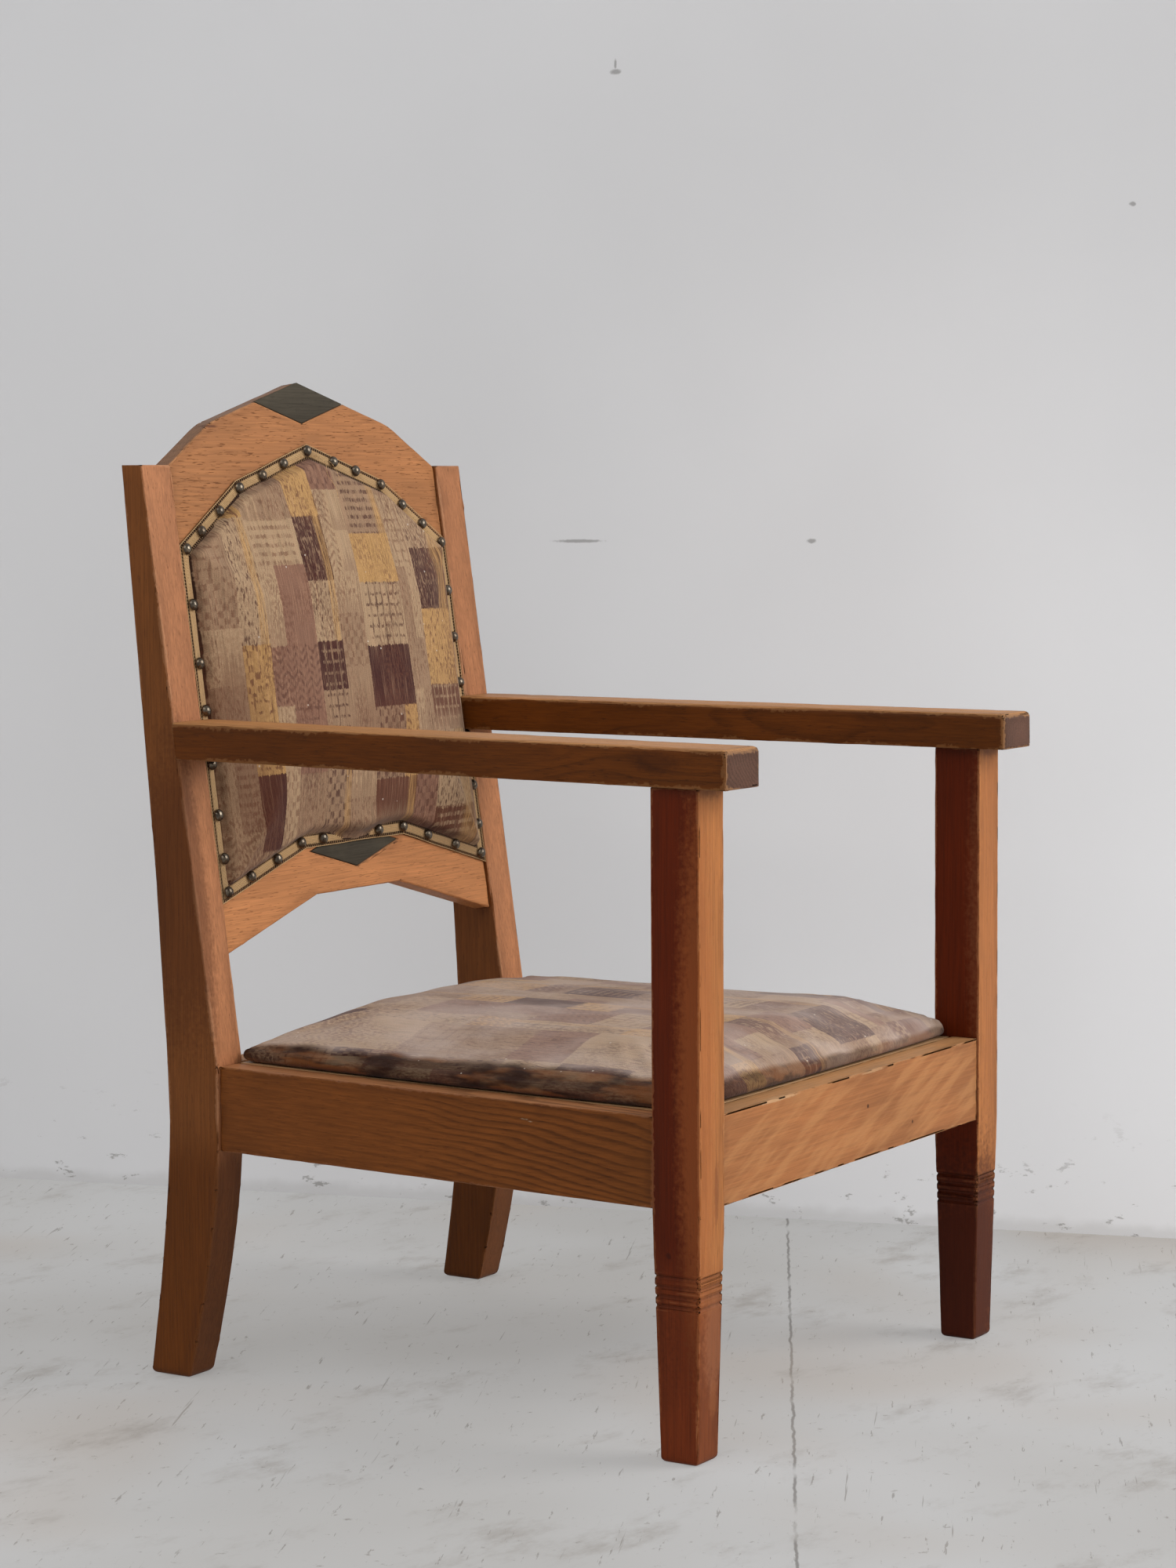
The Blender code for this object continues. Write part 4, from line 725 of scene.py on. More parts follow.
@dataclass(frozen=True)
class StainFinish(Finish):
    """A dark stained inlay, its wood just showing."""

    name: str = "dark_stain"
    colour: Colour = tone(72, 66, 56)

    def paint(self, s: Shader, g: Graph) -> None:
        """Adds the nodes, as Finish says."""
        laid = s.turned(Grain.ACROSS_RAKED.value, (0.0, 0.04, 0.05))
        oak = g.place(Effects.oak_grain(), Vector=laid, Tone=self.colour, Pore_Tone=tone(48, 44, 38), Figure=0.25,
                      Pores=0.5)
        colour = g.mix(g.span(g.noise(s.where, 30.0, 3.0), 0.4, 0.7, 0.0, 0.4), oak["Color"], tone(90, 82, 68))
        s.feed(Base_Color=colour, Roughness=0.75, Specular_IOR_Level=0.10)
        s.bump(oak["Height"], 0.0004, 0.5)


@dataclass(frozen=True)
class SteelFinish(Finish):
    """Dull screw steel with a little rust."""

    name: str = "dull_steel"

    def paint(self, s: Shader, g: Graph) -> None:
        """Adds the nodes, as Finish says."""
        rust = g.noise(s.where, 320.0, 3.0, 0.6)
        colour = g.ramp(rust, [(0.4, tone(150, 148, 142)), (0.6, tone(120, 92, 66)), (0.75, tone(96, 62, 40))])
        s.feed(Base_Color=colour, Metallic=g.span(rust, 0.5, 0.65, 0.95, 0.2), Roughness=0.48)
        s.bump(rust, 0.0002, 0.5)


# -------------------------------------------------------------------- modelling


class Bench:
    """The tools that the pieces are worked with."""

    @staticmethod
    def only(obj: bpy.types.Object) -> None:
        """Leaves just one object selected and active.

        Args:
            obj: that object.
        """
        if bpy.context.object and bpy.context.object.mode != "OBJECT":
            bpy.ops.object.mode_set(mode="OBJECT")
        bpy.ops.object.select_all(action="DESELECT")
        obj.select_set(True)
        bpy.context.view_layer.objects.active = obj

    @classmethod
    @contextmanager
    def edit(cls, obj: bpy.types.Object, pick: str | None = "SELECT") -> Iterator[None]:
        """Opens an object in edit mode, with everything or nothing picked, and closes it again.

        Args:
            obj: the object.
            pick: SELECT or DESELECT, or None to leave what is picked.

        Yields:
            Nothing; the object is open for as long.
        """
        cls.only(obj)
        bpy.ops.object.mode_set(mode="EDIT")
        if pick:
            bpy.ops.mesh.select_all(action=pick)
        yield
        bpy.ops.object.mode_set(mode="OBJECT")

    @staticmethod
    def fresh(kind: Callable[..., object], name: str = "", **settings: object) -> bpy.types.Object:
        """Adds one of Blender's plain meshes.

        Args:
            kind: the operator that adds it.
            name: what it is called.
            settings: what the operator is given.

        Returns:
            The new object, selected and active.
        """
        bpy.ops.object.select_all(action="DESELECT")
        kind(**settings)
        obj = bpy.context.object
        obj.name = obj.data.name = name or obj.name
        return obj

    @staticmethod
    def join(parts: Sequence[bpy.types.Object], name: str) -> bpy.types.Object:
        """Joins several meshes into the first one.

        Args:
            parts: the meshes.
            name: what the joined mesh is called.

        Returns:
            The joined mesh.
        """
        bpy.ops.object.select_all(action="DESELECT")
        for obj in parts:
            obj.select_set(True)
        bpy.context.view_layer.objects.active = parts[0]
        bpy.ops.object.join()
        parts[0].name = parts[0].data.name = name
        return parts[0]

    @classmethod
    def copy_of(cls, node: str, name: str) -> bpy.types.Object:
        """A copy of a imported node's mesh, merged, with its flat faces joined.

        Args:
            node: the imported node's name.
            name: what the copy is called.

        Returns:
            The new object, selected and active.
        """
        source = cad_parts[node]
        obj = bpy.data.objects.new(name, source.data.copy())
        obj.data.name = name
        obj.data.materials.clear()
        bpy.context.scene.collection.objects.link(obj)
        with cls.edit(obj):
            bpy.ops.mesh.remove_doubles(threshold=0.00002)
            bpy.ops.mesh.dissolve_limited(angle_limit=math.radians(0.6))
        return obj

    @classmethod
    def apply(cls, obj: bpy.types.Object, kind: str, **settings: object) -> None:
        """Adds a modifier and applies it.

        Args:
            obj: the object that it changes.
            kind: the modifier's type.
            settings: the properties to set on it.
        """
        cls.only(obj)
        modifier = obj.modifiers.new(kind.title(), kind)
        for name, value in settings.items():
            setattr(modifier, name, value)
        bpy.ops.object.modifier_apply(modifier=modifier.name)

    @staticmethod
    def points(obj: bpy.types.Object) -> np.ndarray:
        """Reads the places of an object's vertices.

        Args:
            obj: the object.

        Returns:
            One row for each vertex.
        """
        out = np.empty(len(obj.data.vertices) * 3)
        obj.data.vertices.foreach_get("co", out)
        return out.reshape(-1, 3)

    @staticmethod
    def normals(obj: bpy.types.Object) -> np.ndarray:
        """The way that each vertex faces, one row each."""
        return np.array([vertex.normal for vertex in obj.data.vertices])

    @staticmethod
    def skin(mesh: bpy.types.Mesh) -> BVHTree:
        """A mesh's faces, to look up places on them."""
        return BVHTree.FromPolygons([v.co for v in mesh.vertices], [tuple(face.vertices) for face in mesh.polygons])

    @staticmethod
    def set_points(obj: bpy.types.Object, places: np.ndarray) -> None:
        """Puts an object's vertices at new places."""
        obj.data.vertices.foreach_set("co", np.ascontiguousarray(places, dtype=float).ravel())
        obj.data.update()

    @staticmethod
    def note(obj: bpy.types.Object, name: str, values: np.ndarray) -> None:
        """Writes one number for each vertex as an attribute."""
        layer = obj.data.attributes.new(name, "FLOAT", "POINT")
        layer.data.foreach_set("value", np.ascontiguousarray(values, dtype=np.float32))

    @staticmethod
    def lay_cloth(obj: bpy.types.Object, flat: np.ndarray) -> None:
        """Writes the piece's UV map.

        Args:
            obj: the piece.
            flat: one (u, v) row for each vertex, in metres.
        """
        layer = obj.data.uv_layers.new(name="cloth")
        corners = np.empty(len(obj.data.loops), dtype=np.int32)
        obj.data.loops.foreach_get("vertex_index", corners)
        layer.data.foreach_set("uv", np.ascontiguousarray(flat[corners], dtype=np.float32).ravel())

    @staticmethod
    def finish(obj: bpy.types.Object, body: str, material: bpy.types.Material, slot: str, *nodes: str,
               angle: float = 38.0) -> bpy.types.Object:
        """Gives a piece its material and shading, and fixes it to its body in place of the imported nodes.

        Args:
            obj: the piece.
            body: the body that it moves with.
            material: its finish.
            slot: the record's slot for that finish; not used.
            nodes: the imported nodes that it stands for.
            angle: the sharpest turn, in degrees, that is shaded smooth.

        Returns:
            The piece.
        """
        Bench.only(obj)
        obj.data.materials.clear()
        obj.data.materials.append(material)
        bpy.ops.object.shade_smooth_by_angle(angle=math.radians(angle))
        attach(obj, body)
        if nodes:
            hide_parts(*nodes)
        obj.select_set(False)
        LOG.info("%s: %d faces on body %s", obj.name, len(obj.data.polygons), body)
        return obj

    @classmethod
    def slice(cls, obj: bpy.types.Object, way: Vector, low: float, high: float, pitch: float) -> None:
        """Cuts a mesh through by evenly spaced planes, so that it can bend between them.

        Args:
            obj: the mesh.
            way: the direction that the planes face.
            low: where the first end is, along it.
            high: where the other end is.
            pitch: about how far the cuts are apart.
        """
        count = max(1, round((high - low) / pitch))
        cls.cut(obj, way, [low + (high - low) * index / count for index in range(1, count)])

    @classmethod
    def cut(cls, obj: bpy.types.Object, way: Vector, spots: Iterable[float]) -> None:
        """Cuts a mesh through by planes that face one way.

        Args:
            obj: the mesh.
            way: the direction that the planes face.
            spots: how far along it each one is.
        """
        with cls.edit(obj):
            for spot in spots:
                bpy.ops.mesh.select_all(action="SELECT")
                bpy.ops.mesh.bisect(plane_co=way * spot, plane_no=way)

    @staticmethod
    def sharp_lines(obj: bpy.types.Object) -> np.ndarray:
        """Finds the sharp edges of a piece.

        Args:
            obj: the piece.

        Returns:
            Each edge as a row of two end points.
        """
        mesh = obj.data
        sides: dict[tuple[int, int], list[int]] = {}
        for face in mesh.polygons:
            for key in face.edge_keys:
                sides.setdefault(key, []).append(face.index)
        limit = math.cos(SHARP)
        rows = [(mesh.vertices[a].co, mesh.vertices[b].co) for (a, b), faces in sides.items()
                if len(faces) == 2 and mesh.polygons[faces[0]].normal.dot(mesh.polygons[faces[1]].normal) < limit]
        return np.array([[*p, *q] for p, q in rows]).reshape(-1, 2, 3)

    @staticmethod
    def gap_to(points: np.ndarray, lines: np.ndarray) -> np.ndarray:
        """Measures from points to lines.

        Args:
            points: the points, one row each.
            lines: the lines, each a row of two end points.

        Returns:
            How far each point is from the nearest line.
        """
        best = np.full(len(points), 1.0)
        for start, end in lines:
            along = end - start
            t = np.clip((points - start) @ along / max(along @ along, 1e-12), 0.0, 1.0)
            best = np.minimum(best, np.linalg.norm(points - (start + t[:, None] * along), axis=1))
        return best


class Lay(Enum):
    """How a board lies, as the three directions that it is cut along: its length first."""

    UPRIGHT = (Vector((0.0, 0.0, 1.0)), Vector((1.0, 0.0, 0.0)), Vector((0.0, 1.0, 0.0)))
    ACROSS = (Vector((1.0, 0.0, 0.0)), Vector((0.0, 1.0, 0.0)), Vector((0.0, 0.0, 1.0)))
    DEEP = (Vector((0.0, 1.0, 0.0)), Vector((1.0, 0.0, 0.0)), Vector((0.0, 0.0, 1.0)))
    RAKED = (Vector((1.0, 0.0, 0.0)), RAKE_UP, RAKE_BACK)


@dataclass
class OakPiece:
    """One oak board or post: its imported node, its finish and how its corners are eased."""

    node: str
    finish: OakFinish
    lay: Lay = Lay.UPRIGHT
    arris: float = 0.0013
    pitch: float = 0.011
    dents: float = 0.0008
    foot: float = 0.0

    @staticmethod
    def ease(obj: bpy.types.Object, width: float, segments: int) -> None:
        """Rounds the sharp edges of a board.

        Args:
            obj: the board.
            width: how far the rounding reaches on each face.
            segments: how many steps it has.
        """
        with Bench.edit(obj, None):
            bpy.ops.mesh.select_mode(type="EDGE")
            bpy.ops.mesh.select_all(action="DESELECT")
            bpy.ops.mesh.edges_select_sharp(sharpness=SHARP)
            bpy.ops.mesh.bevel(offset=width, segments=segments, affect="EDGES", clamp_overlap=True)

    def tread(self, places: np.ndarray) -> np.ndarray:
        """Rounds the foot of a leg, as the floor has worn it.

        Args:
            places: the places of its points.

        Returns:
            The places, drawn in towards the middle of the foot near the floor.
        """
        sole = places[places[:, 2] < 0.0005]
        low, high = sole.min(axis=0), sole.max(axis=0)
        middle, half = (low + high) / 2.0, (high - low) / 2.0
        sunk = np.clip(1.0 - places[:, 2] / self.foot, 0.0, 1.0)
        inset = self.foot * (1.0 - np.sqrt(1.0 - sunk ** 2))
        out = places.copy()
        for axis in (0, 1):
            out[:, axis] = middle[axis] + (places[:, axis] - middle[axis]) * (1.0 - inset / half[axis])
        return out

    def build(self) -> bpy.types.Object:
        """Eases the corners, cuts the faces for the wear and dents the corners lightly.

        Returns:
            The shaped piece.
        """
        obj = Bench.copy_of(self.node, "oak_" + self.node)
        with Bench.edit(obj, None):
            bpy.ops.mesh.remove_doubles(threshold=0.0002)
        lines = Bench.sharp_lines(obj)
        if self.finish.reeds:
            first, pitch, count = self.finish.reeds
            middle = lines.mean(axis=1)[:, 2]
            level = np.abs(lines[:, 0, 2] - lines[:, 1, 2]) < 0.0004
            lines = lines[~(level & (middle > first - pitch) & (middle < first + pitch * count))]
        self.ease(obj, self.arris, 2)
        skin = Bench.skin(obj.data)
        for step in (0.0025, 0.005):
            for face in obj.data.polygons:
                rim = sum((obj.data.vertices[a].co - obj.data.vertices[b].co).length for a, b in face.edge_keys)
                face.select = face.area > 0.0004 and 2.0 * face.area / rim > 2.2 * step
            with Bench.edit(obj, None):
                bpy.ops.mesh.select_mode(type="FACE")
                bpy.ops.mesh.inset(thickness=step, use_individual=True, use_even_offset=False)
        start = Bench.points(obj)
        for index, way in enumerate(self.lay.value):
            reach = start @ np.array(way)
            low, high = float(reach.min()), float(reach.max())
            if index:
                rims = [low + 0.0026, low + 0.0075, high - 0.0075, high - 0.0026]
                Bench.cut(obj, way, [spot for spot in rims if low < spot < high])
            Bench.slice(obj, way, low, high, self.pitch)
        if self.foot:
            Bench.cut(obj, Vector((0.0, 0.0, 1.0)), [self.foot * share for share in (0.06, 0.2, 0.42, 0.7, 1.0)])
        # a point that an inset has thrown off the board goes back to its skin
        places = Bench.points(obj)
        for index, place in enumerate(places):
            near, _, _, off = skin.find_nearest(Vector(place))
            if off > 0.00015:
                places[index] = near
        Bench.set_points(obj, places)
        away = Bench.gap_to(places, lines)
        normals = Bench.normals(obj)
        knocks = np.array([noise.noise(Vector(p) * 48.0) + 0.7 * noise.noise(Vector(p) * 170.0) for p in places])
        press = np.clip(knocks, 0.0, 1.0) * np.clip(1.0 - away / (self.arris * 2.4), 0.0, 1.0) * self.dents
        low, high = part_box(self.node)
        places = np.clip(places - normals * press[:, None], np.array(low), np.array(high))
        Bench.set_points(obj, self.tread(places) if self.foot else places)
        Bench.note(obj, "edge_distance", away)
        return obj

    def dress(self, obj: bpy.types.Object, body: str = "frame") -> bpy.types.Object:
        """Finishes the piece in oak and fixes it to its body."""
        return Bench.finish(obj, body, self.finish.material(), "stained_oak", self.node)


@dataclass
class OakFrame:
    """The oak frame: posts, rear legs, rails, arms and the two shaped boards of the back."""

    pieces: list[OakPiece] = field(default_factory=list)

    def __post_init__(self) -> None:
        """Lists the boards with their finishes."""
        reeds = (0.1375, 0.0085, 4)
        post = OakFinish("oak_post", Grain.UPRIGHT, front=tone(184, 117, 64), side=tone(88, 28, 2),
                         top=tone(120, 80, 50), foot=tone(112, 48, 18), foot_top=0.175, tread=0.35, reeds=reeds,
                         figure=0.22, ring=0.0044, pores=0.25, pore=tone(60, 26, 10), worn=tone(200, 138, 90),
                         wear=0.0015, wear_amount=0.4,
                         # the first two marks darken the fronts of both posts just under the arms: painted shade under
                         # the arms, partly dirt
                         marks=(Mark((-0.268, -0.311, 0.596), (0.040, 0.03, 0.022), tone(92, 52, 34), 0.65),
                                Mark((0.268, -0.311, 0.596), (0.040, 0.03, 0.022), tone(92, 52, 34), 0.65),
                                Mark((-0.262, -0.311, 0.235), (0.004, 0.01, 0.03), tone(120, 66, 38), 0.5),
                                Mark((-0.262, -0.307, 0.055), (0.008, 0.01, 0.018), tone(160, 96, 54), 0.45),
                                # this mark darkens the right post's front over most of its height: painted shade
                                Mark((0.268, -0.311, 0.42), (0.030, 0.02, 0.24), tone(150, 92, 58), 0.35),
                                Mark((-0.2905, -0.311, 0.33), (0.030, 0.026, 0.28), tone(176, 98, 50), 0.38),
                                Mark((-0.2925, -0.285, 0.08), (0.005, 0.05, 0.13), tone(60, 22, 6), 0.5),
                                Mark((-0.262, -0.309, 0.105), (0.020, 0.006, 0.05), tone(168, 108, 72), 0.45),
                                Mark((0.262, -0.29, 0.07), (0.04, 0.06, 0.15), tone(54, 14, 4), 0.75),
                                Mark((-0.2895, -0.279, 0.182), (0.01, 0.003, 0.003), tone(36, 14, 8), 0.5)))
        stile = OakFinish("oak_stile", Grain.UPRIGHT, front=tone(178, 119, 80), side=tone(119, 70, 33),
                          top=tone(150, 110, 84), foot=tone(99, 52, 14), foot_top=0.24, tread=1.0,
                          figure=0.28, ring=0.0048, pores=0.4, worn=tone(196, 144, 106),
                          marks=(Mark((-0.262, 0.26, 0.47), (0.020, 0.07, 0.17), tone(78, 36, 12), 0.5),))
        front = OakFinish("oak_front_rail", Grain.ACROSS, front=tone(166, 107, 63), top=tone(178, 130, 86),
                          fleck=0.5, figure=0.08, pores=0.15, fleck_tone=tone(198, 140, 88), pore=tone(104, 60, 32),
                          worn=tone(206, 158, 112), wear_amount=0.25,
                          marks=(Mark((-0.150, -0.309, 0.2995), (0.042, 0.01, 0.0018), tone(214, 172, 128), 0.7),
                                 Mark((0.030, -0.309, 0.2995), (0.026, 0.01, 0.0016), tone(208, 164, 120), 0.6),
                                 Mark((0.02, -0.309, 0.268), (0.0022, 0.01, 0.0022), tone(70, 36, 18), 0.9),
                                 Mark((0.11, -0.309, 0.240), (0.0018, 0.01, 0.0018), tone(70, 36, 18), 0.9)))
        flank = OakFinish("oak_side_rail", Grain.DEEP, side=tone(118, 66, 26), top=tone(160, 108, 70),
                          figure=1.2, ring=0.0066, lean=0.10, calm=(-0.16, 0.10), pores=0.3,
                          pith=(0.0, -0.243, -0.335), pore=tone(54, 26, 10), worn=tone(176, 122, 92),
                          marks=(Mark((-0.288, -0.125, 0.2855), (0.01, 0.0065, 0.0012), tone(214, 190, 160), 0.9),
                                 Mark((-0.288, -0.132, 0.2840), (0.01, 0.0040, 0.0010), tone(214, 190, 160), 0.8)))
        arm = OakFinish("oak_arm", Grain.DEEP, front=tone(96, 66, 52), side=tone(96, 49, 10), top=tone(182, 128, 80),
                        wear=0.0030, pores=0.4, figure=0.6, ring=0.0040, pith=(0.0, -0.24, -0.62),
                        pore=tone(46, 24, 8), worn=tone(186, 136, 88),
                        marks=(Mark((-0.2985, -0.05, 0.618), (0.01, 0.16, 0.006), tone(128, 84, 44), 0.5),
                               Mark((-0.2985, 0.07, 0.604), (0.01, 0.05, 0.010), tone(58, 28, 8), 0.5),
                               Mark((-0.2985, -0.27, 0.606), (0.01, 0.03, 0.012), tone(54, 24, 8), 0.45),
                               Mark((-0.240, -0.342, 0.603), (0.0012, 0.01, 0.015), tone(52, 30, 24), 0.8)))
        board = OakFinish("oak_back_board", Grain.ACROSS_RAKED, front=tone(172, 115, 71), side=tone(116, 74, 46),
                          top=tone(142, 104, 76), figure=0.32, pores=0.7, pore=tone(92, 52, 28),
                          worn=tone(190, 136, 92), wear=0.0016,
                          marks=(Mark((-0.147, 0.312, 0.8995), (0.010, 0.02, 0.0016), tone(84, 42, 28), 0.7),))
        # the lower board's front is painted lighter than the crest's: painted light, making up for the shade that falls
        # on it
        lower = replace(board, name="oak_lower_board", front=tone(198, 133, 84), figure=0.2, pores=0.4, marks=())
        for side in ("left", "right"):
            self.pieces += [
                OakPiece(f"front_leg_{side}", post, foot=0.005), OakPiece(f"rear_leg_{side}", stile, foot=0.006),
                OakPiece(f"arm_{side}", arm, Lay.DEEP, arris=0.0034),
                OakPiece(f"side_seat_rail_{side}", flank, Lay.DEEP)]
        self.pieces += [
            OakPiece("front_seat_rail", front, Lay.ACROSS), OakPiece("rear_seat_rail", front, Lay.ACROSS),
            OakPiece("crest_rail", board, Lay.RAKED), OakPiece("lower_back_rail", lower, Lay.RAKED)]

    def build(self) -> list[bpy.types.Object]:
        """Shapes every board."""
        return [piece.build() for piece in self.pieces]

    def dress(self, shaped: Iterable[bpy.types.Object]) -> None:
        """Finishes every board."""
        for piece, obj in zip(self.pieces, shaped):
            piece.dress(obj)


# ------------------------------------------------------------------- upholstery


@dataclass
class BackOutline:
    """The edge of the padded panel, up and across the raked back."""

    half: tuple[tuple[float, float], ...] = (
        (0.082, 0.1905), (0.2231, 0.149), (0.2203, 0.491), (0.123, 0.552), (0.0, 0.5885))

    def ring(self) -> list[Vector]:
        """The corners in order round the panel, from the bottom right of the middle."""
        left = [(-x, slope) for x, slope in reversed(self.half[:-1])]
        return [Vector(corner) for corner in (*self.half, *left)]

    def inset(self, by: float) -> list[Vector]:
        """Moves the corners in from every side.

        Args:
            by: how far each side moves.

        Returns:
            The corners in the same order.
        """
        ring = self.ring()
        out = []
        for index, corner in enumerate(ring):
            before, after = ring[index - 1], ring[(index + 1) % len(ring)]
            first, second = (corner - before).normalized(), (after - corner).normalized()
            n1, n2 = Vector((-first.y, first.x)), Vector((-second.y, second.x))
            middle = (n1 + n2).normalized()
            out.append(corner + middle * (by / max(middle.dot(n1), 0.2)))
        return out

    def low(self, x: np.ndarray) -> np.ndarray:
        """The bottom edge at each x."""
        return np.interp(np.abs(x), [0.082, 0.2231], [0.1905, 0.149])

    def high(self, x: np.ndarray) -> np.ndarray:
        """The top edge at each x."""
        return np.interp(np.abs(x), [0.0, 0.123, 0.2203, 0.2232], [0.5885, 0.552, 0.491, 0.489])

    def gap(self, flat: np.ndarray) -> np.ndarray:
        """Measures from the outline.

        Args:
            flat: the (x, slope) rows to measure at.

        Returns:
            How far each row is from the outline.
        """
        ring = np.array([[*p] for p in self.ring()])
        lines = np.stack([ring, np.roll(ring, -1, axis=0)], axis=1)
        return Bench.gap_to(flat, lines)


def rake_frame(places: np.ndarray) -> np.ndarray:
    """Turns places into (x, slope, depth) rows on the raked back."""
    off = places - np.array(RAKE_ORIGIN)
    return np.stack([off[:, 0], off @ np.array(RAKE_UP), off @ np.array(RAKE_BACK)], axis=1)


def from_rake(rows: np.ndarray) -> np.ndarray:
    """Turns (x, slope, depth) rows into places."""
    across = np.array(RAKE_ORIGIN) + np.outer(rows[:, 0], (1.0, 0.0, 0.0))
    return across + np.outer(rows[:, 1], RAKE_UP) + np.outer(rows[:, 2], RAKE_BACK)


def ripples(rows: np.ndarray, spread: tuple[float, float], layer: float) -> np.ndarray:
    """Soft waves over the first two numbers of each row, from one layer of the noise."""
    return np.array([noise.noise(Vector((row[0] * spread[0], row[1] * spread[1], layer))) for row in rows])


def eased(value: np.ndarray, low: float, high: float) -> np.ndarray:
    """Values eased from 0 at low to 1 at high."""
    part = np.clip((value - low) / (high - low), 0.0, 1.0)
    return part * part * (3.0 - 2.0 * part)


@dataclass
class Stuffing:
    """How a pad is blown up under its cover: the pressure, how far a point may move and for how long."""

    pressure: float = 4.0
    cap: float = 0.022
    frames: int = 20

    def swell(self, obj: bpy.types.Object, held: np.ndarray) -> None:
        """Runs the cloth on a closed pad and keeps its result.

        Args:
            obj: the closed pad.
            held: for each vertex, 1 where the cover is nailed down and 0 where it is free.
        """
        start = Bench.points(obj)
        group = obj.vertex_groups.new(name="nailed")
        for index in np.nonzero(held > 0.01)[0]:
            group.add([int(index)], float(held[index]), "REPLACE")
        Bench.only(obj)
        modifier = obj.modifiers.new("Cloth", "CLOTH")
        cloth = modifier.settings
        cloth.quality = 5
        cloth.mass = 0.3
        cloth.tension_stiffness = cloth.compression_stiffness = 18.0
        cloth.bending_stiffness = 0.8
        cloth.use_pressure = True
        cloth.uniform_pressure_force = self.pressure
        cloth.effector_weights.gravity = 0.0
        cloth.vertex_group_mass = "nailed"
        modifier.collision_settings.use_collision = False
        modifier.point_cache.frame_start, modifier.point_cache.frame_end = 1, self.frames
        scene = bpy.context.scene
        for step in range(1, self.frames + 1):
            scene.frame_set(step)
        bpy.ops.object.modifier_apply(modifier=modifier.name)
        scene.frame_set(1)
        moved = Bench.points(obj) - start
        far = np.linalg.norm(moved, axis=1, keepdims=True)
        Bench.set_points(obj, start + moved * np.minimum(1.0, self.cap / np.maximum(far, 1e-9)) * (1.0 - held[:, None]))
        obj.vertex_groups.clear()


